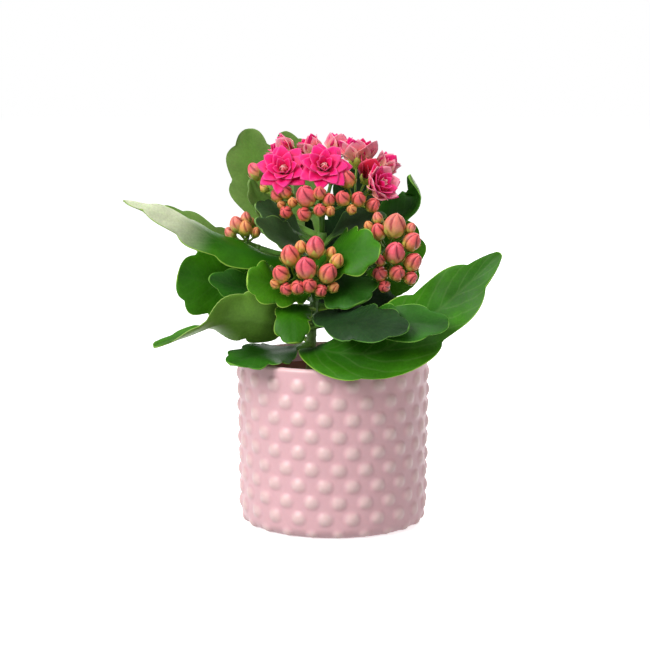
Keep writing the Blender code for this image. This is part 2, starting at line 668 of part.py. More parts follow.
def make_head(name, head, collection, cutters, materials):
    """A flower head: its flowers and large buds, and one branched stalk that carries them."""
    forks = {key: plant_point(point) for key, point in head["forks"].items()}
    tubes = bmesh.new()
    ends = []
    for key, (fork, centre, radius, dome, depth) in head["flowers"].items():
        end = make_flower(
            key, forks[fork], plant_point(centre), plant_length(radius), plant_length(dome),
            plant_length(depth), collection, materials["petals"],
        )
        ends.append((fork, end))
    for key, (fork, centre, width) in head["buds"].items():
        wide = plant_length(width)
        end = make_bud(key, forks[fork], plant_point(centre), wide, collection, materials["buds"])
        ends.append((fork, end))
    for fork, centre, width in head["small_buds"]:
        point = plant_point(centre)
        direction = (point - forks[fork]).normalized()
        wide = plant_length(width)
        reach = wide / 2.0 * BUD_SLENDERNESS
        add_swelling(tubes, point, direction, wide, reach, reach, BUD_RIBS, 0.0, (6, 4))
        ends.append((fork, point))
    for fork, end in ends:
        add_rod(tubes, forks[fork], end, PEDICEL_RADIUS, PEDICEL_RADIUS, 5)
    route = [plant_point(point) for point in head["route"]]
    for fork in forks.values():
        add_rod(tubes, route[-1], fork, BRANCH_RADIUS, BRANCH_RADIUS, 6)
        node = Matrix.Translation(fork)
        bmesh.ops.create_icosphere(tubes, subdivisions=1, radius=BRANCH_RADIUS * 1.5, matrix=node)
    for first, second in zip(route, route[1:]):
        add_rod(tubes, first, second, STALK_RADIUS, STALK_RADIUS, 6)
    for point in route:
        knee = Matrix.Translation(point)
        bmesh.ops.create_icosphere(tubes, subdivisions=1, radius=STALK_RADIUS * 1.3, matrix=knee)
    branches = add_object(name + "_branches", tubes, cutters)
    make_cutter(branches)
    trunk = bmesh.new()
    start = stem_point(plant_height(head["start"]))
    heading = route[0] - start
    if start.z >= STEM_TOP_HEIGHT:
        start = start + Vector((0.0, 0.0, GAP))
    else:
        heading.z = 0.0
        start = start + heading.normalized() * (STEM_RADIUS + GAP + STALK_RADIUS * 0.6)
    points = [start] + route
    add_rod(trunk, points[0], points[1], STALK_RADIUS, STALK_RADIUS, 6)
    stalk = add_object("flower_stalk_" + name, trunk, collection, materials["stalks"])
    add_boolean(stalk, branches, "UNION", use_self=True)
    return stalk


def main():
    clear_scene()
    parts = new_collection("potted_kalanchoe")
    cutters = new_collection("cutters")
    glaze = new_material("pink_glaze", (0.76, 0.48, 0.53), 0.35)
    plastic = new_material("grower_plastic", (0.12, 0.045, 0.03), 0.6)
    soil = new_material("potting_soil", (0.03, 0.02, 0.014), 0.95)
    stems = new_material("stem_green", (0.08, 0.22, 0.03), 0.5)
    leaves = new_material("leaf_green", (0.04, 0.20, 0.015), 0.35)
    petals = new_material("petal_pink", (0.83, 0.01, 0.19), 0.5)
    buds = new_material("bud_coral", (0.75, 0.14, 0.12), 0.5)
    make_pot(parts, cutters, glaze)
    make_grower_pot(parts, cutters, plastic)
    make_soil(parts, cutters, soil)
    make_stem(parts, stems)
    for name, leaf in LEAVES.items():
        make_leaf(name, leaf, parts, leaves)
    head_materials = dict(petals=petals, buds=buds, stalks=stems)
    for name, head in HEADS.items():
        make_head(name, head, parts, cutters, head_materials)


main()
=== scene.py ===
import math
import random

import bmesh
import bpy
from mathutils import Matrix, Vector, noise


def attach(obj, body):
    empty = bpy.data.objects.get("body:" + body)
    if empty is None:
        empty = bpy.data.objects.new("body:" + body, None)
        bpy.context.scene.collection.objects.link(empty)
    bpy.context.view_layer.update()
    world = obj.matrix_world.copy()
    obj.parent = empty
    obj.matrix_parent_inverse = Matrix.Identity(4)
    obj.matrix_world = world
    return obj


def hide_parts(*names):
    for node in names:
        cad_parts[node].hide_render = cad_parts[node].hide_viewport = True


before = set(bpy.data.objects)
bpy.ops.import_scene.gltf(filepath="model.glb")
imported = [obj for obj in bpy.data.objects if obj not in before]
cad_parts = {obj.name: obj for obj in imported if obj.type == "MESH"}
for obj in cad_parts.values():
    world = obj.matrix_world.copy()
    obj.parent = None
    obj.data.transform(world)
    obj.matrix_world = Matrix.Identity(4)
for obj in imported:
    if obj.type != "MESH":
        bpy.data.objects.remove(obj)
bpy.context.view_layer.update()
mm = 0.001
weld = 0.02 * mm
fullTurn = 2.0 * math.pi
up = Vector((0.0, 0.0, 1.0))
print("frame loaded:", len(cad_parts), "nodes")


def paint(red, green, blue):  # a screen colour, 0 to 255, as the linear colour that shaders use
    shares = [channel / 255.0 for channel in (red, green, blue)]
    return tuple(s / 12.92 if s <= 0.04045 else ((s + 0.055) / 1.055) ** 2.4 for s in shares)


def blendColor(first, second, share):
    return tuple(a + (b - a) * share for a, b in zip(first, second))


def ramp(value, low, high):  # 0 below low, 1 above high, smooth between
    t = max(0.0, min(1.0, (value - low) / (high - low)))
    return t * t * (3.0 - 2.0 * t)


def point(values):
    return Vector(values) * mm


def newMaterial(name, roughness, **constants):
    material = bpy.data.materials.new(name)
    material.use_nodes = True
    shader = material.node_tree.nodes["Principled BSDF"]
    shader.inputs["Roughness"].default_value = roughness
    for socket, value in constants.items():
        shader.inputs[socket.replace("_", " ")].default_value = value
    return material, material.node_tree, shader


def node(tree, kind, inputs=(), **settings):
    made = tree.nodes.new("ShaderNode" + kind)
    for key, value in settings.items():
        setattr(made, key, value)
    for socket, value in dict(inputs).items():
        if isinstance(value, bpy.types.NodeSocket):
            tree.links.new(value, made.inputs[socket])
        else:
            made.inputs[socket].default_value = value
    return made


def mathNode(tree, operation, first, second=0.0):
    return node(tree, "Math", {0: first, 1: second}, operation=operation).outputs[0]


def mixNode(tree, factor, first, second, blendType="MIX"):
    mix = node(tree, "Mix", {0: factor, 6: first, 7: second}, data_type="RGBA", blend_type=blendType)
    return mix.outputs[2]


def noiseNode(tree, vector, scale, detail=3.0, rough=0.55):
    made = node(tree, "TexNoise", {"Vector": vector, "Scale": scale, "Detail": detail, "Roughness": rough})
    return made.outputs[0]


def rangeNode(tree, value, fromLow, fromHigh, toLow, toHigh):
    limits = {"From Min": fromLow, "From Max": fromHigh, "To Min": toLow, "To Max": toHigh}
    return node(tree, "MapRange", {"Value": value, **limits}).outputs[0]


def patchNode(tree, value, toLow, toHigh):  # nearly all of a noise lies between 0.3 and 0.7
    return rangeNode(tree, value, 0.3, 0.7, toLow, toHigh)


def objectSpot(tree):
    return node(tree, "TexCoord").outputs["Object"]


def tintNode(tree):
    return node(tree, "Attribute", attribute_name="tint")


def shaded(tree, color, first, second=None):  # a colour made lighter and darker by one or two patterns
    level = first if second is None else mathNode(tree, "MULTIPLY", first, second)
    grey = node(tree, "CombineColor", {0: level, 1: level, 2: level}).outputs[0]
    return mixNode(tree, 1.0, color, grey, "MULTIPLY")


def colorShader(tree, shader, color):
    tree.links.new(color, shader.inputs["Base Color"])


def bumpNode(tree, shader, height, strength, distance):
    bump = node(tree, "Bump", {"Height": height, "Strength": strength, "Distance": distance})
    tree.links.new(bump.outputs[0], shader.inputs["Normal"])


def finishPiece(name, bm, materials, replaced=()):
    mesh = bpy.data.meshes.new(name)
    bm.to_mesh(mesh)
    bm.free()
    mesh.shade_smooth()
    piece = bpy.data.objects.new(name, mesh)
    bpy.context.scene.collection.objects.link(piece)
    for material in materials:
        mesh.materials.append(material)
    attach(piece, "root")
    if replaced:
        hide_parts(*replaced)
    return piece


def tintLayer(bm):
    return bm.verts.layers.float_color.get("tint") or bm.verts.layers.float_color.new("tint")


def anyAngle(draw):
    return draw.uniform(0.0, 6.28)


def spinProfile(profile, turns):  # a round piece from its outline, given as (radius, height)
    bm = bmesh.new()
    verts = [bm.verts.new((radius * mm, 0.0, height * mm)) for radius, height in profile]
    edges = [bm.edges.new(pair) for pair in zip(verts, verts[1:])]
    bmesh.ops.spin(
        bm, geom=verts + edges, cent=(0.0, 0.0, 0.0), axis=up, angle=fullTurn, steps=turns, use_merge=True,
    )
    bmesh.ops.remove_doubles(bm, verts=bm.verts, dist=weld)
    bmesh.ops.recalc_face_normals(bm, faces=bm.faces)
    return bm


def smoothLine(points, steps):  # one smooth curve through all the points
    ends = [points[0] * 2.0 - points[1], *points, points[-1] * 2.0 - points[-2]]
    line = []
    for before, first, second, after in zip(ends, ends[1:], ends[2:], ends[3:]):
        for step in range(steps):
            t = step / steps
            bend = before * 2.0 - first * 5.0 + second * 4.0 - after
            turn = (first - second) * 3.0 + after - before
            line.append((first * 2.0 + (second - before) * t + bend * t**2 + turn * t**3) / 2.0)
    return line + [points[-1]]


def lineLength(line):
    return sum((second - first).length for first, second in zip(line, line[1:]))


def placeOnLine(line, share):
    left = share * lineLength(line)
    for first, second in zip(line, line[1:]):
        step = (second - first).length
        if left <= step:
            return first.lerp(second, left / step), (second - first).normalized()
        left -= step
    return line[-1], (line[-1] - line[-2]).normalized()


def mixedVector(vectors, share):
    position = share * (len(vectors) - 1)
    index = min(int(position), len(vectors) - 2)
    return Vector(vectors[index]).lerp(Vector(vectors[index + 1]), position - index)


# camera, floor and light come first
camera = dict(target=(-3.7, 0.0, 90.5), distance=855.0, elevation=8.1, lens=103.6, sensor=36.0)


def makeCamera():
    data = bpy.data.cameras.new("camera")
    data.lens = camera["lens"]
    data.sensor_width = camera["sensor"]
    lens = bpy.data.objects.new("camera", data)
    tilt = math.radians(camera["elevation"])
    back = Vector((0.0, -math.cos(tilt), math.sin(tilt)))
    lens.location = point(camera["target"]) + back * camera["distance"] * mm
    lens.rotation_euler = (math.radians(90.0 - camera["elevation"]), 0.0, 0.0)
    bpy.context.scene.collection.objects.link(lens)
    bpy.context.scene.camera = lens


studio = dict(
    floorSize=6.0, floorColor=(250, 250, 250), floorGlow=0.62, worldStrength=0.4, middle=(0.0, 0.0, 0.09),
    lamps={
        "key_light": dict(place=(-0.95, -0.85, 1.0), size=0.95, power=24.0),
        "fill_light": dict(place=(0.9, -1.1, 0.5), size=0.9, power=2.5),
        "top_light": dict(place=(0.05, -0.1, 1.3), size=0.6, power=6.0),
        "back_light": dict(place=(0.5, 1.2, 0.7), size=0.9, power=7.0),
    },
)


def makeStudio():
    bm = bmesh.new()
    bmesh.ops.create_grid(bm, x_segments=1, y_segments=1, size=studio["floorSize"])
    mesh = bpy.data.meshes.new("floor")
    bm.to_mesh(mesh)
    bm.free()
    floor = bpy.data.objects.new("floor", mesh)
    bpy.context.scene.collection.objects.link(floor)
    material, tree, shader = newMaterial("pale_floor", 0.9)
    shader.inputs["Base Color"].default_value = (*paint(*studio["floorColor"]), 1.0)
    shader.inputs["Emission Color"].default_value = (1.0, 1.0, 1.0, 1.0)
    shader.inputs["Emission Strength"].default_value = studio["floorGlow"]
    mesh.materials.append(material)
    floor.visible_diffuse = False  # the white floor would otherwise light the object from below
    world = bpy.data.worlds.new("studio")
    world.use_nodes = True
    bpy.context.scene.world = world
    tree = world.node_tree
    background = tree.nodes["Background"]
    background.inputs["Color"].default_value = (1.0, 1.0, 1.0, 1.0)
    seen = node(tree, "LightPath").outputs["Is Camera Ray"]
    strength = rangeNode(tree, seen, 0.0, 1.0, studio["worldStrength"], 1.0)
    tree.links.new(strength, background.inputs["Strength"])
    middle = Vector(studio["middle"])
    for name, lamp in studio["lamps"].items():
        data = bpy.data.lights.new(name, "AREA")
        data.shape = "DISK"
        data.size = lamp["size"]
        data.energy = lamp["power"]
        light = bpy.data.objects.new(name, data)
        light.location = lamp["place"]
        light.rotation_euler = (Vector(lamp["place"]) - middle).to_track_quat("Z", "Y").to_euler()
        bpy.context.scene.collection.objects.link(light)
    bpy.context.scene.view_settings.view_transform = "Standard"


makeCamera()
makeStudio()
print("camera and studio ready")


# cover pot: a thrown wall with rows of glazed hobnails
potShape = dict(
    height=76.6, topRadius=43.2, footRadius=42.0, wall=3.5, floor=4.0, footRounding=6.0, lipRounding=1.6,
    innerCorner=4.0, wallSteps=112, turns=440, footRecess=0.5, footRing=31.0, lipBand=2.5,
)
hobnail = dict(
    around=22, down=7.41, topBand=7.7, lowest=2.0, turn=-5.0,
    halfWidth=4.2, halfHeight=3.75, rise=1.3, squareness=2.3, roundness=1.4, footScale=0.8,
)
glazeColors = dict(ground=(219, 172, 178), bump=(226, 191, 190), lip=(228, 188, 190))


def makePinkGlaze():
    material, tree, shader = newMaterial(
        "pink_glaze", 0.42, Specular_IOR_Level=0.45, Subsurface_Weight=0.06, Subsurface_Scale=0.002,
        Coat_Weight=0.15, Coat_Roughness=0.35,
    )
    spot = objectSpot(tree)
    clouds = noiseNode(tree, spot, 35.0, 4.0)
    specks = noiseNode(tree, spot, 700.0, 2.0)
    cloudy = patchNode(tree, clouds, 0.955, 1.03)
    speckled = rangeNode(tree, specks, 0.35, 0.7, 0.985, 1.012)
    color = shaded(tree, tintNode(tree).outputs["Color"], cloudy, speckled)
    colorShader(tree, shader, color)
    tree.links.new(patchNode(tree, clouds, 0.36, 0.5), shader.inputs["Roughness"])
    bumpNode(tree, shader, noiseNode(tree, spot, 260.0, 3.0), 0.12, 0.0004)
    return material


def potRadius(height):
    p = potShape
    return p["footRadius"] + (p["topRadius"] - p["footRadius"]) * height / p["height"]


def innerRadius(height):
    return potRadius(height) - potShape["wall"]


def quarterRound(radius, height, rounding, startAngle, endAngle, steps):  # points round a corner's centre
    points = []
    for step in range(steps + 1):
        angle = math.radians(startAngle + (endAngle - startAngle) * step / steps)
        points.append((radius + rounding * math.cos(angle), height + rounding * math.sin(angle)))
    return points


def potProfile():  # from the middle of the inner floor, up the wall, over the lip and down to the underside
    p = potShape
    corner, lip, foot = p["innerCorner"], p["lipRounding"], p["footRounding"]
    floor, top = p["floor"] + corner, p["height"] - lip
    points = [(0.0, p["floor"]), (innerRadius(p["floor"]) * 0.5, p["floor"])]
    points += quarterRound(innerRadius(floor) - corner, floor, corner, -90.0, 0.0, 6)
    for step in range(1, 12):
        height = floor + (top - floor) * step / 12.0
        points.append((innerRadius(height), height))
    points += quarterRound(innerRadius(p["height"]) + lip, top, lip, 180.0, 90.0, 8)
    points += quarterRound(p["topRadius"] - lip, top, lip, 90.0, 0.0, 8)[1:]
    for step in range(1, p["wallSteps"]):
        height = top - (top - foot) * step / p["wallSteps"]
        points.append((potRadius(height), height))
    points += quarterRound(potRadius(foot) - foot, foot, foot, 0.0, -90.0, 14)
    return points + [(p["footRing"] + 1.0, 0.0), (p["footRing"], p["footRecess"]), (0.0, p["footRecess"])]


def hobnailRise(angle, down):  # 0 to 1: the surface's swell at an angle round and a distance down the wall
    h = hobnail
    foot = potShape["footRounding"]
    straight = potShape["height"] - foot
    nearRow = round((down - h["topBand"]) / h["down"])
    best = 0.0
    for row in (nearRow - 1, nearRow, nearRow + 1):
        if row < 0:
            continue
        rowDown = h["topBand"] + row * h["down"]
        flat = 1.0
        if rowDown > straight:
            flat = h["footScale"]
            if foot * (1.0 - math.sin((rowDown - straight) / foot)) < h["lowest"]:
                continue
        steps = (angle - math.radians(h["turn"])) / fullTurn * h["around"] - 0.5 * (row % 2)
        offset = (steps - round(steps)) * fullTurn / h["around"] * potShape["topRadius"]
        x = abs(offset) / (h["halfWidth"] * flat)
        y = abs(down - rowDown) / (h["halfHeight"] * flat)
        q = (x ** h["squareness"] + y ** h["squareness"]) ** (1.0 / h["squareness"])
        if q < 1.0:
            best = max(best, (1.0 - q**2.0) ** h["roundness"] * flat)
    return best


def isOuterWall(radius, height):
    p = potShape
    foot = p["footRounding"]
    if height >= foot:
        return radius > potRadius(height) - 0.3
    isInnerCorner = radius < innerRadius(foot) + 0.5 and height > p["floor"] - 0.1
    return radius > p["footRing"] + 2.0 and not isInnerCorner


def makePot():
    bm = spinProfile(potProfile(), potShape["turns"])
    tint = tintLayer(bm)
    ground, swell, lip = (paint(*glazeColors[key]) for key in ("ground", "bump", "lip"))
    foot = potShape["footRounding"]
    top = potShape["height"]
    for vert in bm.verts:
        radius = math.hypot(vert.co.x, vert.co.y) / mm
        height = vert.co.z / mm
        color = ground
        if isOuterWall(radius, height):
            direction = Vector((vert.co.x, vert.co.y, 0.0)).normalized()
            down = top - height
            if height < foot:  # the rows go on round the foot's rounding
                tilt = math.asin(max(-1.0, min(1.0, (foot - height) / foot)))
                down = top - foot + foot * tilt
                direction = direction * math.cos(tilt) - up * math.sin(tilt)
            rise = hobnailRise(math.atan2(vert.co.x, -vert.co.y), down)
            vert.co += direction * rise * hobnail["rise"] * mm
            color = blendColor(ground, swell, ramp(rise, 0.05, 0.75))
        if height > top - potShape["lipBand"]:
            color = blendColor(color, lip, ramp(height, top - potShape["lipBand"], top - 0.4))
        vert[tint] = (*color, 1.0)
    finishPiece("cover_pot", bm, [makePinkGlaze()], ["pot"])


makePot()
print("cover pot thrown")


# grower pot and the soil inside it
growerShape = dict(
    foot=4.35, height=64.0, clearance=1.5, rimWidth=2.0, rimDepth=6.0, taper=8.0, wall=0.9, turns=120,
    holes=5, holeRadius=3.5, holeRing=0.6,
)
growerColors = dict(dark=(96, 52, 38), pale=(128, 76, 56))
soilShape = dict(belowRim=5.0, crown=2.3, buried=14.0, turns=120, rings=44, crumbs=420, chips=60, gap=0.35)
soilColors = dict(loam=(58, 44, 34), peat=(84, 60, 42), chip=(112, 80, 52), perlite=(205, 200, 190))


def growerRadius(height):
    g = growerShape
    top = g["foot"] + g["height"]
    rim = innerRadius(top) - g["clearance"] - g["rimWidth"]
    return rim - g["taper"] * (top - height) / g["height"]


def soilHeight():
    return growerShape["foot"] + growerShape["height"] - soilShape["belowRim"]


def makeGrowerPlastic():
    material, tree, shader = newMaterial("grower_plastic", 0.55, Specular_IOR_Level=0.4)
    spot = objectSpot(tree)
    dust = noiseNode(tree, spot, 90.0, 4.0)
    dark, pale = ((*paint(*growerColors[key]), 1.0) for key in ("dark", "pale"))
    colorShader(tree, shader, mixNode(tree, dust, dark, pale))
    bumpNode(tree, shader, noiseNode(tree, spot, 500.0, 2.0), 0.15, 0.0003)
    return material


def makeGrowerPot():
    g = growerShape
    foot, top, wall = g["foot"], g["foot"] + g["height"], g["wall"]
    rimFoot = top - g["rimDepth"]
    rim = growerRadius(top) + g["rimWidth"]
    profile = [
        (0.0, foot + wall), (growerRadius(foot) - 2.0, foot + wall),
        (growerRadius(foot) - wall, foot + 2.0), (growerRadius(rimFoot) - wall, rimFoot),
        (growerRadius(top) - wall, top - 0.4), (growerRadius(top) - wall + 0.4, top),
        (rim - 0.5, top), (rim, top - 0.5), (rim, rimFoot + 0.3), (rim - 0.3, rimFoot),
        (growerRadius(rimFoot), rimFoot), (growerRadius(foot + 1.5), foot + 1.5),
        (growerRadius(foot) - 1.0, foot), (0.0, foot),
    ]
    bm = spinProfile(profile, g["turns"])
    liner = finishPiece("grower_pot_liner", bm, [makeGrowerPlastic()], ["grower_pot"])
    holes = bmesh.new()
    ring = growerRadius(foot) * g["holeRing"]
    for step in range(g["holes"]):
        angle = fullTurn * step / g["holes"]
        middle = point((ring * math.cos(angle), ring * math.sin(angle), foot))
        bmesh.ops.create_cone(
            holes, cap_ends=True, segments=32, radius1=g["holeRadius"] * mm, radius2=g["holeRadius"] * mm,
            depth=wall * 6.0 * mm, matrix=Matrix.Translation(middle),
        )
    mesh = bpy.data.meshes.new("drain_holes")
    holes.to_mesh(mesh)
    holes.free()
    cutter = bpy.data.objects.new("drain_holes", mesh)
    bpy.context.scene.collection.objects.link(cutter)
    cut = liner.modifiers.new("drain", "BOOLEAN")
    cut.object = cutter
    cut.operation = "DIFFERENCE"
    cut.solver = "EXACT"
    applyModifiers(liner)
    bpy.data.objects.remove(cutter, do_unlink=True)


def applyModifiers(piece):
    graph = bpy.context.evaluated_depsgraph_get()
    baked = bpy.data.meshes.new_from_object(piece.evaluated_get(graph))
    piece.modifiers.clear()
    old = piece.data
    piece.data = baked
    bpy.data.meshes.remove(old)
    baked.shade_smooth()


def makeSoilMaterial():
    material, tree, shader = newMaterial("potting_soil", 0.95, Specular_IOR_Level=0.2)
    grains = noiseNode(tree, objectSpot(tree), 600.0, 5.0, 0.7)
    level = rangeNode(tree, grains, 0.25, 0.75, 0.45, 1.5)
    colorShader(tree, shader, shaded(tree, tintNode(tree).outputs["Color"], level))
    bumpNode(tree, shader, grains, 0.8, 0.001)
    return material


def soilCrown(share):  # height of the heaped surface at a share of the soil's radius
    return soilHeight() + soilShape["crown"] * (1.0 - share**2.5)


def makeSoil():
    s = soilShape
    top = soilHeight()
    wall = growerShape["wall"]
    foot = growerShape["foot"] + wall + 2.0 * s["gap"]
    edge = growerRadius(top) - wall - s["gap"]
    shares = [step / s["rings"] for step in range(s["rings"] + 1)]
    profile = [(edge * share, soilCrown(share)) for share in shares]
    profile += [(edge - 0.1, top - 2.0), (growerRadius(foot) - wall - s["gap"], foot), (0.0, foot)]
    bm = spinProfile(profile, s["turns"])
    tint = tintLayer(bm)
    loam, peat, chip, perlite = (paint(*color) for color in soilColors.values())
    for vert in bm.verts:
        if vert.co.z > (top - 0.5) * mm:
            rough = noise.fractal(vert.co * 350.0, 1.0, 2.0, 4)
            radius = math.hypot(vert.co.x, vert.co.y) / mm
            vert.co.z += rough * 0.7 * mm * (1.0 - ramp(radius, edge - 1.5, edge))
        vert[tint] = (*loam, 1.0)
    draw = random.Random(11)
    for index in range(s["crumbs"] + s["chips"]):
        radius = edge * 0.97 * math.sqrt(draw.random())
        angle = draw.uniform(0.0, fullTurn)
        size = draw.uniform(0.4, 1.1)
        color = blendColor(loam, peat, draw.random())
        stretch = (1.0, draw.uniform(0.6, 1.0), draw.uniform(0.4, 0.8))
        if index >= s["crumbs"]:
            color = chip if index % 3 else perlite
            stretch = (draw.uniform(1.2, 2.2), 1.0, 0.5) if index % 3 else (1.0, 1.0, 0.9)
        turn = Matrix.Rotation(anyAngle(draw), 4, "Z") @ Matrix.Rotation(draw.uniform(-0.5, 0.5), 4, "X")
        spot = (radius * math.cos(angle), radius * math.sin(angle), soilCrown(radius / edge))
        place = Matrix.Translation(point(spot))
        crumb = bmesh.ops.create_icosphere(
            bm, subdivisions=1, radius=size * mm, matrix=place @ turn @ Matrix.Diagonal((*stretch, 1.0)),
        )
        for vert in crumb["verts"]:
            vert[tint] = (*color, 1.0)
    finishPiece("soil_bed", bm, [makeSoilMaterial()], ["potting_soil"])


makeGrowerPot()
makeSoil()
print("grower pot filled with soil")


# main stem
stemShape = dict(
    foot=(-11.0, 0.0), top=(-5.0, 0.0), topHeight=133.0, bend=1.5, radius=2.2, stations=64, sides=24,
    knuckle=0.45, knuckleLength=1.6, waist=0.25,
)
stemColors = dict(woody=(104, 112, 62), green=(88, 132, 52), fresh=(112, 160, 66))


def stemPoint(height):
    s = stemShape
    foot = soilHeight() - soilShape["buried"]
    share = (height - foot) / (s["topHeight"] - foot)
    x = s["foot"][0] + (s["top"][0] - s["foot"][0]) * share
    y = s["foot"][1] + (s["top"][1] - s["foot"][1]) * share
    return point((x - s["bend"] * math.sin(math.pi * share), y, height))


def makeStemSkin():
    material, tree, shader = newMaterial(
        "stem_green", 0.42, Specular_IOR_Level=0.4, Subsurface_Weight=0.08, Subsurface_Scale=0.002,
    )
    spot = objectSpot(tree)
    blotches = patchNode(tree, noiseNode(tree, spot, 220.0, 4.0), 0.82, 1.15)
    streaks = node(tree, "Mapping", {"Vector": spot, "Scale": (1.0, 1.0, 0.12)}).outputs[0]
    lines = noiseNode(tree, streaks, 900.0, 2.0)
    color = shaded(tree, tintNode(tree).outputs["Color"], blotches, patchNode(tree, lines, 0.88, 1.1))
    colorShader(tree, shader, color)
    bumpNode(tree, shader, lines, 0.2, 0.0003)
    return material


stemSkin = makeStemSkin()


def addTube(bm, line, radii, colors, sides):
    # a closed tube: a ring is extruded from point to point of the line, and each new ring moved into place
    tint = tintLayer(bm)
    ring = bmesh.ops.create_circle(bm, cap_ends=False, segments=sides, radius=1.0)["verts"]
    shape = [(vert.co.x, vert.co.y) for vert in ring]
    side = None
    last = len(line) - 1
    for index, place in enumerate(line):
        ahead = line[min(index + 1, last)] - line[max(index - 1, 0)]
        ahead.normalize()
        if side is None:
            side = ahead.orthogonal().normalized()
        side = (side - ahead * side.dot(ahead)).normalized()
        other = ahead.cross(side)
        if index:
            edges = {edge for vert in ring for edge in vert.link_edges if edge.other_vert(vert) in ringSet}
            grown = bmesh.ops.extrude_edge_only(bm, edges=list(edges))["geom"]
            fresh = {item for item in grown if isinstance(item, bmesh.types.BMVert)}
            ring = [next(e.other_vert(v) for e in v.link_edges if e.other_vert(v) in fresh) for v in ring]
        ringSet = set(ring)
        for (x, y), vert in zip(shape, ring):
            vert.co = place + (side * x + other * y) * radii[index]
            vert[tint] = (*colors[index], 1.0)
        if index in (0, last):
            bm.faces.new(ring if index else ring[::-1])


def makeStem():
    s = stemShape
    foot = soilHeight() - soilShape["buried"] + 2.0
    line, radii, colors = [], [], []
    woody, green, fresh = (paint(*color) for color in stemColors.values())
    knuckles = [leaf["node"] for leaf in leafBlades.values()]
    for step in range(s["stations"] + 1):
        height = foot + (s["topHeight"] - foot) * step / s["stations"]
        line.append(stemPoint(height))
        swell = max([math.exp(-((height - k) / s["knuckleLength"]) ** 2) for k in knuckles])
        radii.append((s["radius"] - s["waist"] + s["knuckle"] * swell) * mm)
        share = (height - foot) / (s["topHeight"] - foot)
        color = blendColor(woody, green, ramp(share, 0.2, 0.5))
        colors.append(blendColor(color, fresh, ramp(share, 0.6, 1.0) * 0.7 + 0.25 * swell))
    bm = bmesh.new()
    addTube(bm, line, radii, colors, s["sides"])
    bmesh.ops.recalc_face_normals(bm, faces=bm.faces)
    finishPiece("stem", bm, [stemSkin], ["main_stem"])


# leaves
leafShape = dict(
    thickness=1.5, edge=0.16, petioleHalfWidth=1.7, petioleThickness=1.9, tipHalfWidth=0.35, taper=0.25,
    along=96, across=22, gather=1.3, midribSteps=10, sink=0.9,
    groove=0.3, rib=0.5, grooveWidth=0.9, grooveFade=0.75,
    teeth=4, stagger=0.18, toothStart=0.16, toothDepth=0.2, toothReach=5, toothSkew=1.9, toothRound=0.6,
    wave=0.55, pucker=0.28, puckerAcross=0.12, puckerAlong=0.09,
)
leafVeins = dict(pairs=13.0, slant=0.42, wobble=0.03, lateral=0.13, middle=0.035, color=(176, 196, 130))
petioleColor = (104, 150, 60)
# each tone's rim colour is the pale margin line: partly the leaf's paler edge, partly a painted highlight
# along the rounded margin
leafTones = {
    "fresh": dict(upper=(52, 110, 8), heart=(34, 88, 8), under=(104, 136, 62), rim=(150, 190, 72)),
    # painted light: the fresh green made brighter for leaves that face the light
    "litGreen": dict(upper=(64, 122, 12), heart=(44, 102, 8), under=(118, 148, 70), rim=(164, 204, 84)),
    # painted shade: the fresh green made darker for leaves that stand in shadow
    "shadowGreen": dict(upper=(42, 96, 18), heart=(22, 62, 12), under=(96, 126, 62), rim=(112, 164, 62)),
    "shade": dict(upper=(32, 62, 28), heart=(24, 46, 24), under=(88, 116, 62), rim=(92, 146, 58)),
    # painted shade: a dim green for the bracts, which stand in shadow
    "halfShadow": dict(upper=(60, 88, 50), heart=(44, 68, 38), under=(96, 122, 68), rim=(124, 164, 84)),
    "grey": dict(upper=(104, 136, 66), heart=(82, 124, 42), under=(112, 134, 84), rim=(122, 150, 84)),
    "olive": dict(upper=(64, 120, 28), heart=(44, 92, 14), under=(108, 152, 56), rim=(150, 182, 92)),
}

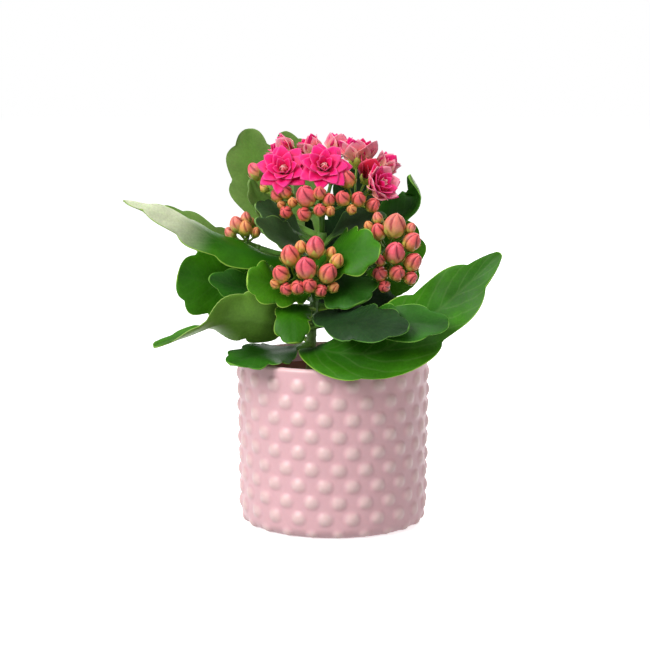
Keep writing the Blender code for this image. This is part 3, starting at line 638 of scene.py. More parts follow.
# node: height on the stem; rib: the points of the midrib; faces: where the upper face looks along it;
# fold and cup in degrees; lengths in millimetres
usualLeaf = dict(petiole=12, widest=0.5, blunt=2.2, fold=6, cup=10, veins=0.04)
leafBlades = {
    # its pale tint towards the tip is a painted sheen of light glancing off the upper face
    "leaf_left_long": dict(
        node=120.5, rib=[(-30, -12, 123), (-52, -19, 131), (-74, -25, 143), (-92, -28, 149.5)],
        faces=[(0.1, -0.3, 0.95), (0.2, -0.6, 0.8), (0.3, -0.8, 0.5)], width=21, widest=0.36, blunt=1.35,
        fold=-12, cup=-10, tone="fresh", pale=(0.45, 0.75, (196, 204, 170)), veins=0.35),
    "leaf_left_behind": dict(
        node=116, rib=[(-30, 12, 118.5), (-54, 18, 124.5), (-79, 17, 143)],
        faces=[(0.2, -0.5, 0.9), (0.3, -0.9, 0.4)], width=20, blunt=2.0, fold=8, tone="grey"),
    "leaf_left_broad": dict(
        node=109, rib=[(-30, 1, 107), (-50, -1, 109), (-70.5, -6, 114)],
        faces=[(-0.1, -0.9, 0.4), (-0.2, -0.95, 0.2)], width=35, widest=0.58, blunt=2.6, cup=-8,
        tone="fresh"),
    "leaf_left_small": dict(
        node=105, rib=[(-24, -12, 107.5), (-40, -21, 110), (-55, -26, 115)],
        faces=[(0.0, -0.85, 0.5), (0.0, -0.9, 0.4)], width=17, petiole=10, fold=8, cup=14, tone="shadowGreen"),
    "leaf_left_drooping": dict(
        node=90.5, rib=[(-25, -20.5, 94.3), (-42, -29, 97.4), (-60, -34, 92.4), (-79, -37, 86.2)],
        faces=[(0.1, 0.8, 0.6), (0.0, 1.0, 0.05), (0.0, 1.0, 0.2), (-0.1, 0.1, 1.0), (-0.2, -0.3, 0.9)],
        width=27, petiole=9, widest=0.4, blunt=1.7, cup=16, tone="olive"),
    "leaf_left_low": dict(
        node=82, rib=[(-22, -16, 81), (-33, -29, 81.1), (-45, -42, 79)],
        faces=[(0.0, -0.6, 0.8), (-0.45, -0.7, 0.55)], width=22.5, petiole=9, widest=0.55, blunt=2.4,
        cup=-14, tone="shadowGreen"),
    "leaf_front_left": dict(
        node=111.5, rib=[(-17, -16, 109.5), (-27, -27, 112.5), (-38, -33, 115.5)],
        faces=[(0.0, -0.6, 0.8), (-0.2, -0.9, 0.4)], width=23, petiole=6, widest=0.55, blunt=2.6, fold=4,
        cup=-10, tone="litGreen"),
    "leaf_front_center": dict(
        node=98, rib=[(-13, -15, 100.5), (-18, -29.5, 98.5), (-17.5, -37, 87.5)],
        faces=[(0.0, -0.3, 0.95), (0.0, -0.98, 0.2)], width=17, petiole=10, widest=0.6, blunt=2.8, fold=4,
        cup=-12, tone="fresh"),
    "leaf_front_upper": dict(
        node=121, rib=[(-2, -18, 125), (8, -30, 127), (20.5, -38, 128)],
        faces=[(0.1, -0.85, 0.5), (0.1, -0.92, 0.35)], width=28, petiole=5, widest=0.36, fold=4, cup=-12,
        tone="fresh"),
    "leaf_front_right": dict(
        node=115, rib=[(0, -13.5, 113.4), (5.5, -26, 111), (11.5, -36, 104.8)],
        faces=[(0.0, -0.5, 0.85), (0.2, -0.95, 0.2)], width=29, petiole=9, blunt=2.6, fold=4, cup=-10,
        tone="shadowGreen"),
    "leaf_low_inner": dict(
        node=94.5, rib=[(-4, -24, 99.2), (10, -46, 98.2), (32, -61, 97.7)],
        faces=[(0.0, -0.5, 0.85), (0.1, -0.8, 0.6)], width=25, petiole=15, blunt=2.0, cup=-10,
        tone="shade", veins=0.02),
    "leaf_low_outer": dict(
        node=89.5, rib=[(4, -29, 95.6), (23, -49, 97.7), (49.5, -54, 98.5)],
        faces=[(0.0, -0.5, 0.85), (0.0, -0.8, 0.6)], width=21, widest=0.62, blunt=2.4, cup=8, tone="shadowGreen",
        veins=0.02),
    "leaf_right_long": dict(
        node=78.5,
        rib=[(-8, -25, 83.3), (3, -40.5, 83.6), (22, -45.4, 86), (47, -38.5, 103.3), (73, -36, 127)],
        faces=[(-0.1, -0.3, 0.95), (0, -0.7, 0.7), (-0.1, -0.78, 0.6), (-0.15, -0.87, 0.5),
            (-0.3, -0.9, 0.3)], width=35, petiole=9, blunt=1.7, fold=2, cup=14, tone="fresh", veins=0.12),
    "leaf_right_small": dict(
        node=104, rib=[(4, -9, 104), (16, -16, 105), (28.5, -20, 103.5)],
        faces=[(0.1, -0.5, 0.85), (0.2, -0.8, 0.6)], width=15, petiole=8, widest=0.6, fold=4, cup=-14,
        tone="shade"),
    "leaf_right_broad": dict(
        node=98, rib=[(10, 3, 101), (24, 6, 112), (33, 10, 138)],
        faces=[(-0.2, -0.6, 0.75), (-0.1, -0.98, 0.1)], width=30, widest=0.55, blunt=2.6, fold=4, cup=8,
        tone="litGreen"),
    "leaf_right_curled": dict(
        node=122, rib=[(14, 3, 131), (29, 4, 138), (39, 3, 148), (34.5, 1, 159)],
        faces=[(-0.2, -0.7, 0.7), (-0.6, -0.6, 0.5), (-0.9, -0.4, 0.0)], width=25, petiole=8, widest=0.45,
        blunt=1.8, fold=22, cup=14, tone="shadowGreen"),
    "leaf_back_left_tall": dict(
        node=124, rib=[(-16, 10, 128), (-28, 18, 141), (-36, 22, 158), (-39, 24, 179)],
        faces=[(0.3, -0.7, 0.6), (0.05, -1.0, 0.1)], width=31, petiole=9, widest=0.45, tone="grey"),
    "leaf_back_top": dict(
        node=129, rib=[(-8, 16, 137), (-13, 30, 156), (-24, 33, 177)],
        faces=[(0.1, -0.8, 0.5), (0.05, -1.0, 0.0)], width=20, petiole=14, widest=0.6, blunt=2.0, fold=4,
        cup=8, tone="grey"),
    "bract_left_upper": dict(
        node=131, rib=[(-22, 3, 138), (-33, 0, 147), (-37.5, -3, 157)],
        faces=[(0.2, -0.8, 0.5), (0.3, -0.95, 0.1)], width=12, petiole=8, widest=0.55, blunt=1.8, fold=8,
        tone="grey"),
    "bract_left_mid": dict(
        node=127, rib=[(-17, -4, 134), (-26, -7, 141), (-35, -10, 146.5)],
        faces=[(0.1, -0.5, 0.85), (0.1, -0.8, 0.6)], width=15, petiole=7, blunt=2.0, fold=8, tone="halfShadow"),
    "bract_left_low": dict(
        node=123, rib=[(-14, -12, 126.5), (-24, -20, 133.5), (-34.5, -26, 141)],
        faces=[(0.1, -0.5, 0.85), (0.1, -0.8, 0.6)], width=18, petiole=4, widest=0.45, blunt=1.8, fold=8,
        tone="halfShadow"),
    "bract_right": dict(
        node=127, rib=[(3, -4, 134), (12, -5, 138.5), (24, -4, 141)],
        faces=[(0.0, -0.5, 0.85), (0.0, -0.6, 0.8)], width=16, petiole=5, blunt=1.8, fold=10, cup=14,
        tone="halfShadow"),
    "leaf_back_low_left": dict(
        node=83, rib=[(-24, 15, 87), (-40, 30, 90), (-56, 44, 86)],
        faces=[(-0.3, 0.3, 0.9), (-0.5, 0.4, 0.8)], width=26, petiole=11, cup=8, tone="fresh"),
    "leaf_back_low": dict(
        node=86, rib=[(-10, 20, 92), (-8, 42, 94), (-6, 66, 87)],
        faces=[(0.0, -0.1, 1.0), (0.0, 0.6, 0.8)], width=28, petiole=11, cup=-8, tone="shadowGreen"),
    "leaf_back_low_right": dict(
        node=90, rib=[(6, 16, 93), (26, 33, 95), (46, 48, 92)], faces=[(0.0, -0.1, 1.0), (0.4, 0.4, 0.8)],
        width=26, petiole=11, cup=8, tone="fresh"),
    "leaf_back_middle": dict(
        node=98, rib=[(-7, 13, 102), (-11, 22, 115), (-14, 28, 139)],
        faces=[(0.0, -0.8, 0.6), (0.0, -1.0, 0.2)], width=31, petiole=4, widest=0.36, fold=8, cup=-8,
        tone="shade"),
    "leaf_back_upright": dict(
        node=115, rib=[(2, 14, 121), (11, 22, 138), (15, 26, 162)],
        faces=[(0.0, -0.8, 0.6), (0.05, -1.0, 0.1)], width=32, petiole=6, widest=0.55, tone="shade"),
}


def makeLeafSkin():
    material, tree, shader = newMaterial(
        "leaf_green", 0.46, Specular_IOR_Level=0.12, Subsurface_Weight=0.08, Subsurface_Scale=0.002,
    )
    shader.inputs["Subsurface Radius"].default_value = (0.3, 1.0, 0.15)
    v = leafVeins
    spot = objectSpot(tree)
    tint = tintNode(tree)
    edge = node(tree, "Attribute", attribute_name="edge").outputs["Fac"]
    rim = node(tree, "Attribute", attribute_name="rim").outputs["Color"]
    blotches = patchNode(tree, noiseNode(tree, spot, 70.0, 4.0), 0.74, 1.22)
    grain = noiseNode(tree, spot, 1100.0, 3.0)
    color = shaded(tree, tint.outputs["Color"], blotches, patchNode(tree, grain, 0.9, 1.1))
    uv = node(tree, "SeparateXYZ", {0: node(tree, "UVMap", uv_map="UVMap").outputs[0]})
    out = mathNode(tree, "ABSOLUTE", mathNode(tree, "SUBTRACT", uv.outputs[0], 0.5))
    slanted = mathNode(tree, "SUBTRACT", uv.outputs[1], mathNode(tree, "MULTIPLY", out, v["slant"]))
    wobble = mathNode(tree, "MULTIPLY", noiseNode(tree, spot, 160.0, 2.0), v["wobble"])
    count = mathNode(tree, "MULTIPLY", mathNode(tree, "ADD", slanted, wobble), v["pairs"])
    away = mathNode(tree, "ABSOLUTE", mathNode(tree, "SUBTRACT", mathNode(tree, "FRACT", count), 0.5))
    lateral = rangeNode(tree, away, 0.0, v["lateral"], 1.0, 0.0)
    middle = rangeNode(tree, out, 0.0, v["middle"], 1.0, 0.0)
    vein = mathNode(tree, "MAXIMUM", lateral, middle)
    showing = mathNode(tree, "MULTIPLY", vein, tint.outputs["Alpha"])
    color = mixNode(tree, mathNode(tree, "MULTIPLY", showing, 0.45), color, (*paint(*v["color"]), 1.0))
    # pale margin line from the rim colour: partly the leaf's paler edge, partly a painted highlight along
    # the rounded margin
    color = mixNode(tree, rangeNode(tree, edge, 0.05, 0.55, 0.9, 0.0), color, rim)
    colorShader(tree, shader, color)
    tree.links.new(patchNode(tree, grain, 0.34, 0.5), shader.inputs["Roughness"])
    sunken = mathNode(tree, "MULTIPLY", vein, 0.03)
    relief = mathNode(tree, "SUBTRACT", mathNode(tree, "MULTIPLY", grain, 0.35), sunken)
    bumpNode(tree, shader, relief, 0.35, 0.0004)
    return material


def leafMidrib(leaf):
    centre = stemPoint(leaf["node"])
    rib = [point(values) for values in leaf["rib"]]
    heading = rib[0] - centre
    heading.z = 0.0
    start = centre + heading.normalized() * (stemShape["radius"] - leafShape["sink"]) * mm
    return smoothLine([start, *rib], leafShape["midribSteps"])


def bladeSwell(leaf, share):  # share of the blade's half width, from its foot to its tip
    if share < leaf["widest"]:
        return math.sin(math.pi / 2.0 * share / leaf["widest"]) ** 0.8
    rest = (share - leaf["widest"]) / (1.0 - leaf["widest"])
    return max(1.0 - rest ** leaf["blunt"], 0.0) ** (1.0 / leaf["blunt"])


def toothDepth(share, side):  # how far the scalloped margin is drawn in, 0 to 1
    s = leafShape
    if share <= s["toothStart"]:
        return 0.0
    reach = (share - s["toothStart"]) / (1.0 - s["toothStart"])
    phase = (s["teeth"] - 0.5) * reach + side * s["stagger"] * (1.0 - reach) + 0.001
    lobe = (phase - math.floor(phase)) ** s["toothSkew"]
    return (1.0 - math.sin(math.pi * lobe) ** s["toothRound"]) * ramp(reach, 0.0, 0.25)


def alongShare(vert):  # share of the leaf's length: the stations gather towards the tip
    return 1.0 - (1.0 - (vert.co.x + 1.0) / 2.0) ** leafShape["gather"]


def makeLeaf(name, leaf, skin, seed):
    s = leafShape
    leaf = {**usualLeaf, **leaf}
    line = leafMidrib(leaf)
    length = lineLength(line) / mm
    halfWidth = leaf["width"] / 2.0
    petiole = leaf["petiole"] + s["sink"]
    petioleShare = petiole / length
    fold, cup = math.radians(leaf["fold"]), math.radians(leaf["cup"])
    tone = leafTones[leaf["tone"]]
    upper, heart, under, rim = (paint(*tone[key]) for key in ("upper", "heart", "under", "rim"))
    stalkTone = paint(*petioleColor)
    draw = random.Random(seed)
    wavePhase, waveTurn = anyAngle(draw), draw.uniform(2.0, 3.2) * fullTurn
    drift = Vector([draw.uniform(0, 50) for axis in range(3)])
    bm = bmesh.new()
    bmesh.ops.create_grid(bm, x_segments=s["along"], y_segments=s["across"], size=1.0)
    bmesh.ops.solidify(bm, geom=bm.faces[:], thickness=1.0)
    top = max(vert.co.z for vert in bm.verts) - 0.5
    tint = tintLayer(bm)
    rimTint = bm.verts.layers.float_color.new("rim")
    edge = bm.verts.layers.float.new("edge")
    uvLayer = bm.loops.layers.uv.new("UVMap")
    places = {}
    frames = {}
    for vert in bm.verts:
        across = math.sin(vert.co.y * math.pi / 2.0)
        out = abs(across)
        isUpper = vert.co.z > top
        share = alongShare(vert)
        key = round(share, 6)
        if key not in frames:
            place, ahead = placeOnLine(line, share)
            face = mixedVector(leaf["faces"], share)
            face = (face - ahead * face.dot(ahead)).normalized()
            frames[key] = (place, ahead, face, ahead.cross(face))
        place, ahead, face, side = frames[key]
        bladeShare = max(0.0, min(1.0, (share * length - petiole) / (length - petiole)))
        narrow = s["petioleHalfWidth"] + (s["tipHalfWidth"] - s["petioleHalfWidth"]) * bladeShare
        full = halfWidth * bladeSwell(leaf, bladeShare)
        half = max(full, narrow)
        spread = min(1.0, share / petioleShare)
        sideSign = 1.0 if across > 0.0 else -1.0
        drawnIn = toothDepth(bladeShare, sideSign) * s["toothDepth"] * halfWidth * ramp(full, 1.0, 4.0)
        reach = out * half - drawnIn * out ** s["toothReach"]
        lean = (fold + cup * out / 2.0) * spread
        blade = ramp(bladeShare, 0.0, 0.15)
        wave = s["wave"] * out**3 * math.sin(waveTurn * share + wavePhase + sideSign)
        grid = Vector((across * half * s["puckerAcross"], share * length * s["puckerAlong"], 0.0))
        ruffle = noise.noise(grid + drift)
        lift = reach * math.sin(lean) + blade * (wave + s["pucker"] * ruffle * 2.0)
        body = s["petioleThickness"] + (s["thickness"] - s["petioleThickness"]) * blade
        body *= 1.0 - s["taper"] * bladeShare
        thick = max(s["edge"], body / 2.0 * max(0.0, 1.0 - out ** (3.0 - blade)) ** 0.5)
        groove = math.exp(-((across * half / s["grooveWidth"]) ** 2)) * blade
        groove *= 1.0 - s["grooveFade"] * bladeShare
        height = thick - s["groove"] * groove if isUpper else -thick - s["rib"] * groove
        places[vert] = place + (side * sideSign * reach * math.cos(lean) + face * (lift + height)) * mm
        vert[edge] = max(0.0, min((half - drawnIn) * (1.0 - out), (1.0 - share) * length))
        depth = ramp(out, 0.0, 0.9) * 0.65 + 0.35 * ramp(bladeShare, 0.0, 0.8)
        color = blendColor(under, heart, 0.22 * (1.0 - depth))
        if isUpper:
            color = blendColor(heart, upper, min(1.0, depth + 0.2 * ruffle))
        veins = leaf["veins"]
        # painted sheen: a leaf with a pale setting is paled towards its tip where light glances off the
        # upper face, and its veins fade there
        if "pale" in leaf and isUpper:
            low, high, sheenColor = leaf["pale"]
            color = blendColor(color, paint(*sheenColor), ramp(bladeShare, low, high))
            veins *= ramp(bladeShare, low - 0.1, high)
        color = blendColor(stalkTone, color, ramp(share, petioleShare * 0.3, petioleShare * 1.6))
        vert[tint] = (*color, veins)
        # rim colour for the margin line, partly painted highlight
        vert[rimTint] = (*rim, 1.0)
        vert.co.z = across
    for face in bm.faces:
        for loop in face.loops:
            loop[uvLayer].uv = (0.5 + loop.vert.co.z / 2.0, alongShare(loop.vert))
    for vert, place in places.items():
        vert.co = place
    bmesh.ops.recalc_face_normals(bm, faces=bm.faces)
    finishPiece(name + "_blade", bm, [skin], [name])


makeStem()
leafSkin = makeLeafSkin()
for index, (leafName, leafBlade) in enumerate(leafBlades.items()):
    makeLeaf(leafName, leafBlade, leafSkin, 100 + index)
print("stem and leaves grown:", len(leafBlades))


# flower heads: stalks, buds and double flowers
stalkShape = dict(
    main=1.3, branch=0.85, pedicel=0.55, sides=10, steps=6, sag=0.08, branchSag=0.02, overlap=0.3, sink=0.8,
    branchKnot=1.45, mainKnot=1.25, flowerFlare=1.5, budFlare=0.9, smallFlare=0.8,
)
budShape = dict(
    segments=32, rings=18, tall=1.36, wide=1.12, turnsUp=0.7, lobes=4, twist=0.5, sepals=5,
    seam=0.3, seamSharpness=3.5, seamDrop=0.1, tipNarrowing=0.16, seamDark=1.8, seamDarkSharpness=4.0,
)
sepalShape = dict(half=0.3, length=0.78, below=0.04, closeness=0.12, swing=0.54, cup=0.35, tip=0.04)
flowerShape = dict(
    petalAlong=9, petalAcross=6, petalTip=0.05, thickness=0.2, facesForward=0.75, footDepth=0.62,
    whorlRise=0.25, whorlRing=0.09, sepalDrop=2.2, sepalWidth=0.75,
)
budTones = {
    "coral": dict(top=(226, 96, 96), base=(206, 190, 84), seam=(112, 0, 22)),
    "pink": dict(top=(230, 90, 108), base=(212, 166, 96), seam=(132, 6, 40)),
    "green": dict(top=(226, 150, 92), base=(170, 184, 58), seam=(160, 44, 38)),
    "pale": dict(top=(222, 124, 108), base=(192, 192, 92), seam=(152, 30, 48)),
}
sepalColors = dict(foot=(164, 182, 66), tip=(196, 190, 92))
stalkColors = dict(low=(70, 116, 28), high=(140, 172, 50))

# painted highlight: pale pink laid on the petals' edges and tips, where light catches them
petalEdgeHighlight = (252, 170, 206)
# the base colours, darker than the middles, are painted shade where the petals overlap at each flower's
# centre
petalTones = {
    "hot": dict(base=(184, 0, 44), middle=(230, 0, 96), tip=(238, 26, 132)),
    "red": dict(base=(140, 0, 26), middle=(192, 4, 42), tip=(220, 40, 84)),
    "heart": dict(base=(222, 70, 104), middle=(240, 150, 160), tip=(250, 206, 196)),
    "blush": dict(base=(220, 150, 118), middle=(240, 116, 142), tip=(248, 168, 186)),
}

# whorls of petals: count, lean from the axis at the foot and at the tip in degrees, length and width as
# shares of the flower's radius, and the petals' tone
flowerKinds = {
    "open": [
        (7, 30, 102, 1.12, 0.74, "hot"), (6, 22, 84, 1.02, 0.68, "hot"), (6, 14, 62, 0.88, 0.56, "hot"),
        (5, 8, 34, 0.68, 0.42, "hot"), (4, 2, -14, 0.52, 0.32, "heart"),
    ],
    "cup": [
        (5, 40, 22, 1.4, 1.25, "blush"), (5, 30, 26, 1.32, 1.05, "hot"), (5, 18, 18, 1.2, 0.8, "hot"),
        (4, 8, 4, 1, 0.5, "heart"),
    ],
    "tulip": [
        (4, 36, 26, 1.6, 1.45, "red"), (4, 22, 14, 1.4, 1.1, "red"), (3, 8, 6, 1.2, 0.8, "red"),
    ],
    "ruffled": [
        (6, 52, 30, 1.35, 1.25, "blush"), (7, 40, 52, 1.3, 0.9, "hot"), (6, 28, 36, 1.2, 0.8, "hot"),
        (6, 14, 18, 1.05, 0.6, "hot"), (4, 4, 6, 0.9, 0.4, "heart"),
    ],
}

# each head: where its stalk leaves the stem, the points it passes, its forks, the open flowers
# (fork, centre, radius, depth, kind), the large buds (fork, centre, width, tone) and the small ones
flowerHeads = {
    "top": dict(
        start=133, route=[(-5, -1, 141)],
        forks=dict(left=(-17, -8, 148), middle=(-6, -11, 147), right=(10, -7, 148), back=(-1, 3, 155)),
        flowers=dict(
            flower_front_left=("left", (-21.8, -18, 162.5), 11.6, 6, "open"),
            flower_front_right=("middle", (-4.1, -22, 163.8), 11.6, 6, "open"),
            flower_back_left=("back", (-22, 4, 169.5), 8.4, 6, "cup"),
            flower_top_right=("right", (11, 0, 167.5), 9.4, 5.5, "ruffled"),
            flower_tulip=("right", (16, -6, 160.5), 7, 5.5, "tulip"),
            flower_top=("back", (2, 8, 171), 7.6, 6, "cup"),
            flower_right_low=("right", (20, -16, 155), 9, 6, "ruffled"),
            flower_right_back=("right", (23.5, 4, 162.5), 7.4, 6, "cup"),
            flower_back=("back", (-10, 9, 170), 7.4, 6, "cup"),
        ),
        buds=dict(
            bud_top_1=("middle", (-12, -26, 151.5), 8, "pink"),
            bud_top_2=("right", (6, -21, 158.5), 6.6, "coral"),
            bud_top_3=("left", (-35, -6, 161), 6.2, "pink"),
        ),
        smallBuds=[
            ("left", (-25, -17, 151), 5, "coral"), ("left", (-21, -21, 153), 5, "coral"),
            ("middle", (-6, -28, 153), 5, "coral"), ("middle", (-2, -27, 150), 5, "coral"),
            ("left", (-18, -23, 148.5), 3.9, "green"), ("left", (-23, -19, 147), 3.4, "green"),
            ("left", (-21, -22, 144), 5, "coral"), ("middle", (-13, -26, 143.5), 5.6, "coral"),
            ("middle", (-6, -28, 145.5), 5, "coral"), ("middle", (-1.5, -27, 145), 4.2, "green"),
            ("right", (4, -26, 150.5), 5.8, "coral"), ("right", (8, -26, 145.5), 4, "green"),
            ("right", (11, -24, 150), 5.8, "coral"), ("right", (17.5, -20.5, 147), 5.6, "coral"),
            ("left", (-31, -6, 153.5), 3.6, "green"),
        ],
    ),
    "front": dict(
        start=102, route=[(-8.5, -13, 105), (-9.5, -20, 110)],
        forks=dict(left=(-16.5, -25, 115), right=(-9.5, -25, 114.5)),
        flowers={},
        buds=dict(
            bud_front_1=("left", (-19, -33.5, 126), 7.4, "coral"),
            bud_front_2=("right", (-8, -32.5, 129.5), 7.6, "pink"),
            bud_front_3=("right", (-12, -38, 121), 8.2, "pink"),
            bud_front_4=("left", (-23, -35, 118), 6.6, "coral"),
            bud_front_5=("right", (-2.5, -36, 118.5), 7.4, "coral"),
        ),
        smallBuds=[
            ("left", (-14.4, -32, 129.5), 4.6, "green"), ("right", (-1, -31, 127), 4.1, "green"),
            ("right", (1.5, -33, 123.5), 5.4, "green"), ("left", (-15.5, -37.5, 112.5), 5.6, "coral"),
            ("right", (-10.5, -38, 113.5), 5.8, "coral"), ("left", (-25.5, -33, 113.5), 4, "green"),
            ("left", (-20.5, -35, 111.5), 5.2, "coral"), ("right", (-5.5, -36.5, 111), 5, "coral"),
            ("right", (0, -34, 112), 4.3, "green"),
        ],
    ),
    "right": dict(
        start=109, route=[(6, -5, 112), (17, -9, 119)],
        forks=dict(upper=(23, -15, 128), lower=(23, -16, 120)),
        flowers={},
        buds=dict(
            bud_right_1=("upper", (27, -27, 138.5), 8.8, "pale"),
            bud_right_2=("upper", (19.8, -24.5, 135.6), 6.2, "coral"),
            bud_right_3=("upper", (34.5, -27.5, 131.5), 7, "coral"),
            bud_right_4=("lower", (27, -31, 127), 8, "pink"),
            bud_right_5=("lower", (35, -28, 122.5), 7, "coral"),
        ),
        smallBuds=[
            ("upper", (19.5, -23, 141.5), 4.2, "pale"), ("upper", (15.5, -24.5, 138), 3.8, "green"),
            ("upper", (34, -27, 137.5), 3.9, "pale"), ("lower", (20.5, -29.5, 123.5), 4.4, "coral"),
            ("lower", (20.5, -28.5, 117.5), 6, "coral"), ("lower", (28, -30.5, 118), 6.2, "coral"),
            ("lower", (34, -28.5, 115.5), 5.2, "coral"), ("lower", (22.5, -28, 111.8), 4.8, "coral"),
        ],
    ),
    "left": dict(
        start=124, route=[(-22, -1, 123), (-34, 0, 126)],
        forks=dict(only=(-39, -1, 129)),
        flowers={},
        buds={},
        smallBuds=[
            ("only", (-43.5, -5, 137), 6, "pale"), ("only", (-46.5, -3, 133), 4.6, "pale"),
            ("only", (-39.5, -6.5, 135.5), 5.6, "green"), ("only", (-35, -5.5, 133.5), 4, "green"),
            ("only", (-39.5, -2, 139.5), 4.6, "pale"), ("only", (-43.5, 1.5, 136), 5, "pale"),
            ("only", (-37.5, 2.5, 136.5), 4.6, "green"),
        ],
    ),
}


def makeBudSkin():
    material, tree, shader = newMaterial(
        "bud_coral", 0.42, Specular_IOR_Level=0.35, Subsurface_Weight=0.15, Subsurface_Scale=0.0015,
    )
    spot = objectSpot(tree)
    flecks = noiseNode(tree, spot, 900.0, 3.0)
    blush = patchNode(tree, noiseNode(tree, spot, 260.0, 3.0), 0.9, 1.1)
    color = shaded(tree, tintNode(tree).outputs["Color"], patchNode(tree, flecks, 0.88, 1.12), blush)
    colorShader(tree, shader, color)
    bumpNode(tree, shader, flecks, 0.25, 0.0003)
    return material


def makePetalSkin():
    material, tree, shader = newMaterial(
        "petal_pink", 0.5, Specular_IOR_Level=0.25, Subsurface_Weight=0.1, Subsurface_Scale=0.0015,
        Sheen_Weight=0.25, Sheen_Roughness=0.4,
    )
    shader.inputs["Sheen Tint"].default_value = (1.0, 0.6, 0.8, 1.0)
    tint = tintNode(tree)
    uv = node(tree, "UVMap", uv_map="UVMap").outputs[0]
    streaks = node(tree, "Mapping", {"Vector": uv, "Scale": (34.0, 2.2, 1.0)}).outputs[0]
    lines = noiseNode(tree, streaks, 1.0, 2.0)
    patches = patchNode(tree, noiseNode(tree, objectSpot(tree), 500.0, 3.0), 0.92, 1.08)
    color = shaded(tree, tint.outputs["Color"], patchNode(tree, lines, 0.82, 1.14), patches)
    # painted highlight on the petal edges, weighted by the tint's alpha
    pale = (*paint(*petalEdgeHighlight), 1.0)
    color = mixNode(tree, mathNode(tree, "MULTIPLY", tint.outputs["Alpha"], 0.14), color, pale)
    colorShader(tree, shader, color)
    bumpNode(tree, shader, lines, 0.3, 0.0003)
    return material


def addBud(bm, foot, direction, width, tone, draw):
    # a closed bud: a ball drawn out tall, pinched along the seams between its four rolled petals
    b = budShape
    tint = tintLayer(bm)
    colors = {key: paint(*value) for key, value in budTones[tone].items()}
    turn = direction.to_track_quat("Z", "Y").to_matrix()
    reach = width / 2.0 * b["tall"]
    wide = width / 2.0 * b["wide"]
    centre = foot + direction * reach
    skew = draw.uniform(0.0, 3.14)
    made = bmesh.ops.create_uvsphere(bm, u_segments=b["segments"], v_segments=b["rings"], radius=1.0)
    for vert in made["verts"]:
        height = vert.co.z
        angle = math.atan2(vert.co.y, vert.co.x) + b["twist"] * height
        lobe = abs(math.sin(angle * b["lobes"] / 2.0 + skew))
        pinch = (1.0 - lobe) ** b["seamSharpness"] * ramp(height, -0.6, 0.35)
        narrow = wide * (1.0 - b["seam"] * pinch) * (1.0 - b["tipNarrowing"] * ramp(height, 0.0, 1.0))
        tall = height * reach * (1.0 - b["seamDrop"] * pinch)
        local = Vector((vert.co.x * narrow, vert.co.y * narrow, tall))
        color = blendColor(colors["base"], colors["top"], ramp(height + 0.18 * lobe, -0.55, 0.75))
        # darker red along the pinched seams
        seamDark = b["seamDark"] * (1.0 - lobe) ** b["seamDarkSharpness"] * ramp(height, -0.5, 0.2)
        vert[tint] = (*blendColor(color, colors["seam"], min(0.95, seamDark)), 1.0)
        vert.co = centre + turn @ local


def outAndSide(turn, angle):  # the ways out from an axis and round it, at an angle
    cosine, sine = math.cos(angle), math.sin(angle)
    return turn @ Vector((cosine, sine, 0.0)), turn @ Vector((-sine, cosine, 0.0))


def addSepals(bm, foot, direction, width, draw):
    # short pointed sepals that clasp the foot of a bud or flower
    s = sepalShape
    tint = tintLayer(bm)
    turn = direction.to_track_quat("Z", "Y").to_matrix()
    green, tipGreen = paint(*sepalColors["foot"]), paint(*sepalColors["tip"])
    start = anyAngle(draw)
    for index in range(budShape["sepals"]):
        outward, sideways = outAndSide(turn, start + index * fullTurn / budShape["sepals"])
        made = bmesh.ops.create_grid(bm, x_segments=4, y_segments=2, size=1.0)
        for vert in made["verts"]:
            along = (vert.co.x + 1.0) / 2.0
            across = vert.co.y
            half = width * s["half"] * (1.0 - along**1.8) + s["tip"] * mm
            swing = s["closeness"] + s["swing"] * math.sin(math.pi * 0.5 * min(1.0, along * 1.3))
            place = foot + direction * width * (along * s["length"] - s["below"]) + outward * width * swing
            vert.co = place + sideways * half * across - outward * abs(across) * half * s["cup"]
            vert[tint] = (*blendColor(green, tipGreen, along), 1.0)


def petalHalf(share):  # share of the petal's half width from its foot to its pointed tip
    return 0.34 * (1.0 - share) ** 2 + math.sin(math.pi * share**0.86) ** 0.8 * 0.95


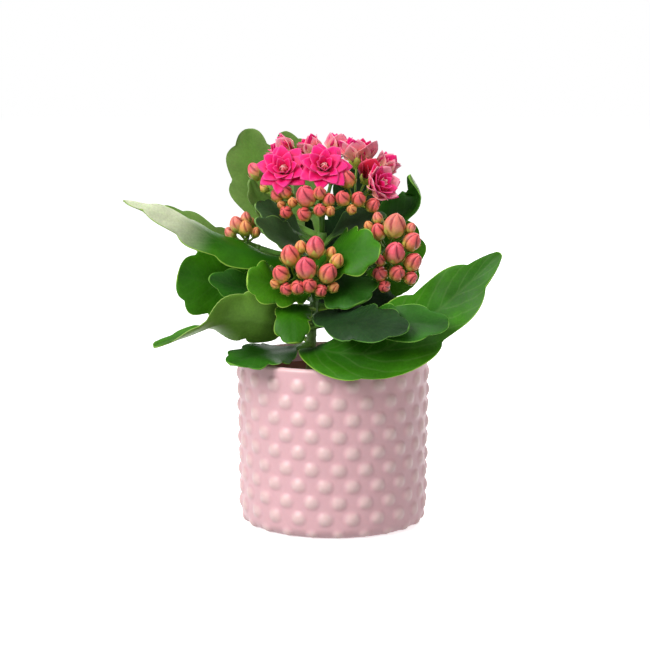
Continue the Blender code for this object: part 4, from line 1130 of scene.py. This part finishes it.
def addPetal(bm, foot, turn, angle, leans, length, width, tone, draw):
    f = flowerShape
    tint = tintLayer(bm)
    uvLayer = bm.loops.layers.uv.verify()
    colors = {key: paint(*value) for key, value in petalTones[tone].items()}
    footLean, tipLean = (math.radians(value) for value in leans)
    curl = draw.uniform(0.1, 0.3)
    fold = draw.uniform(0.08, 0.26)
    wobble = anyAngle(draw)
    outward, sideways = outAndSide(turn, angle)
    axis = turn @ up
    steps = f["petalAlong"]
    spine = [Vector((0.0, 0.0))]
    for step in range(steps):
        lean = footLean + (tipLean - footLean) * ((step + 0.5) / steps) ** 0.8
        spine.append(spine[-1] + Vector((math.sin(lean), math.cos(lean))) * length / steps)
    made = bmesh.ops.create_grid(bm, x_segments=steps, y_segments=f["petalAcross"], size=1.0)
    grid = {vert: (vert.co.x, vert.co.y) for vert in made["verts"]}
    for vert, (x, y) in grid.items():
        step = round((x + 1.0) / 2.0 * steps)
        share = step / steps
        lean = footLean + (tipLean - footLean) * share**0.8
        half = width / 2.0 * petalHalf(share) + f["petalTip"] * mm
        inner = axis * math.sin(lean) - outward * math.cos(lean)
        lift = abs(y) ** 1.6 * half * fold + math.sin(share * 9.0 + wobble + y * 2.0) * half * 0.07 * abs(y)
        lift -= abs(y) ** 4 * half * curl * share
        vert.co = foot + outward * spine[step].x + axis * spine[step].y + sideways * half * y + inner * lift
        # painted shade: darker towards the petal's foot, where the petals overlap
        color = blendColor(colors["base"], colors["middle"], ramp(share, 0.2, 0.8))
        outer = ramp(share, 0.55, 1.0) * 0.6 + 0.3 * ramp(abs(y), 0.4, 1.0)
        color = blendColor(color, colors["tip"], outer)
        # painted highlight: pale petal edges and tips, stored in the tint's alpha
        edgeHighlight = max(ramp(abs(y), 0.9, 1.0), ramp(share, 0.96, 1.0)) * ramp(share, 0.3, 0.6)
        vert[tint] = (*color, edgeHighlight)
    for face in {face for vert in grid for face in vert.link_faces}:
        for loop in face.loops:
            x, y = grid[loop.vert]
            loop[uvLayer].uv = (0.5 + y / 2.0, (x + 1.0) / 2.0)


def makeFlower(name, fork, centre, radius, depth, kind, skin, seed):
    f = flowerShape
    draw = random.Random(seed)
    direction = (centre - fork).normalized()
    if kind == "open":
        direction = (direction + Vector((0.0, -f["facesForward"], 0.0))).normalized()
    turn = direction.to_track_quat("Z", "Y").to_matrix()
    bm = bmesh.new()
    tintLayer(bm)
    foot = centre - direction * depth * f["footDepth"] * mm
    for whorl, (count, footLean, tipLean, long, wide, tone) in enumerate(flowerKinds[kind]):
        start = anyAngle(draw)
        for index in range(count):
            angle = start + fullTurn * (index + draw.uniform(-0.12, 0.12)) / count
            leans = (footLean + draw.uniform(-3, 3), tipLean + draw.uniform(-9, 9))
            size = draw.uniform(0.93, 1.05) * radius * mm
            outward = outAndSide(turn, angle)[0]
            spot = foot + direction * f["whorlRise"] * whorl * mm + outward * radius * f["whorlRing"] * mm
            addPetal(bm, spot, turn, angle, leans, long * size, wide * size, tone, draw)
    piece = finishPiece(name + "_petals", bm, [skin], [name])
    thick = piece.modifiers.new("thickness", "SOLIDIFY")
    thick.thickness = f["thickness"] * mm
    thick.offset = 0.0
    return foot, direction


def bentLine(start, end, draw, sag):  # a stalk that leaves its fork and curves towards what it carries
    middle = (start + end) / 2.0
    length = (end - start).length
    middle += Vector((draw.uniform(-1, 1), draw.uniform(-1, 1), -1.0 - draw.random())) * length * sag * 0.5
    return smoothLine([start, middle, end], stalkShape["steps"])


def addSepaledBud(bm, fork, middle, width, tone, draw):  # a bud turns up from the way its stalk leads
    direction = ((middle - fork).normalized() + up * budShape["turnsUp"]).normalized()
    foot = middle - direction * width / 2.0 * budShape["tall"]
    addBud(bm, foot, direction, width, tone, draw)
    addSepals(bm, foot, direction, width, draw)
    return foot


def addStalk(bm, line, radii, colors):
    addTube(bm, line, [radius * mm for radius in radii], colors, stalkShape["sides"])


def makeHead(name, head, skins, seed):
    draw = random.Random(seed)
    s, f = stalkShape, flowerShape
    forks = {key: point(values) for key, values in head["forks"].items()}
    low, high = paint(*stalkColors["low"]), paint(*stalkColors["high"])
    stalks, small, sepals = bmesh.new(), bmesh.new(), bmesh.new()
    ends = []
    for index, (key, (fork, centre, radius, depth, kind)) in enumerate(head["flowers"].items()):
        foot, direction = makeFlower(
            key, forks[fork], point(centre), radius, depth, kind, skins["petal"], seed * 50 + index,
        )
        sepalFoot = foot - direction * f["sepalDrop"] * mm
        addSepals(sepals, sepalFoot, direction, radius * f["sepalWidth"] * mm, draw)
        ends.append((fork, foot, s["flowerFlare"]))
    for key, (fork, centre, width, tone) in head["buds"].items():
        bud = bmesh.new()
        foot = addSepaledBud(bud, forks[fork], point(centre), width * mm, tone, draw)
        ends.append((fork, foot, s["budFlare"]))
        bmesh.ops.recalc_face_normals(bud, faces=bud.faces)
        finishPiece(key + "_petals", bud, [skins["bud"]], [key])
    for fork, centre, width, tone in head["smallBuds"]:
        foot = addSepaledBud(small, forks[fork], point(centre), width * mm, tone, draw)
        ends.append((fork, foot, s["smallFlare"]))
    for fork, foot, flare in ends:
        end = foot + (foot - forks[fork]).normalized() * s["overlap"] * mm
        line = bentLine(forks[fork], end, draw, s["sag"])
        shares = [index / (len(line) - 1) for index in range(len(line))]
        radii = [s["pedicel"] * (1.0 + (flare - 0.2) * ramp(share, 0.82, 1.0)) for share in shares]
        addStalk(stalks, line, radii, [blendColor(low, high, share) for share in shares])
    route = [point(values) for values in head["route"]]
    for fork in forks.values():
        line = bentLine(route[-1], fork, draw, s["branchSag"])
        addStalk(stalks, line, [s["branch"]] * len(line), [low] * len(line))
    start = stemPoint(head["start"])
    if head["start"] < stemShape["topHeight"]:  # a side stalk starts inside the stem's skin
        heading = route[0] - start
        heading.z = 0.0
        start += heading.normalized() * (stemShape["radius"] - s["sink"]) * mm
    line = smoothLine([start, *route], s["steps"])
    addStalk(stalks, line, [s["main"]] * len(line), [low] * len(line))
    knots = [(fork, s["branch"] * s["branchKnot"]) for fork in forks.values()]
    for place, radius in [*knots, (route[-1], s["main"] * s["mainKnot"])]:
        knot = bmesh.ops.create_icosphere(
            stalks, subdivisions=2, radius=radius * mm, matrix=Matrix.Translation(place),
        )
        for vert in knot["verts"]:
            vert[tintLayer(stalks)] = (*low, 1.0)
    bmesh.ops.recalc_face_normals(stalks, faces=stalks.faces)
    finishPiece("stalk_" + name, stalks, [skins["stem"]], ["flower_stalk_" + name])
    bmesh.ops.recalc_face_normals(small, faces=small.faces)
    finishPiece("small_buds_" + name, small, [skins["bud"]])
    if head["flowers"]:
        finishPiece("sepals_" + name, sepals, [skins["stem"]])
    else:
        sepals.free()


headSkins = dict(stem=stemSkin, bud=makeBudSkin(), petal=makePetalSkin())
for index, (headName, flowerHead) in enumerate(flowerHeads.items()):
    makeHead(headName, flowerHead, headSkins, 7 + index)
print("flower heads built:", len(flowerHeads))
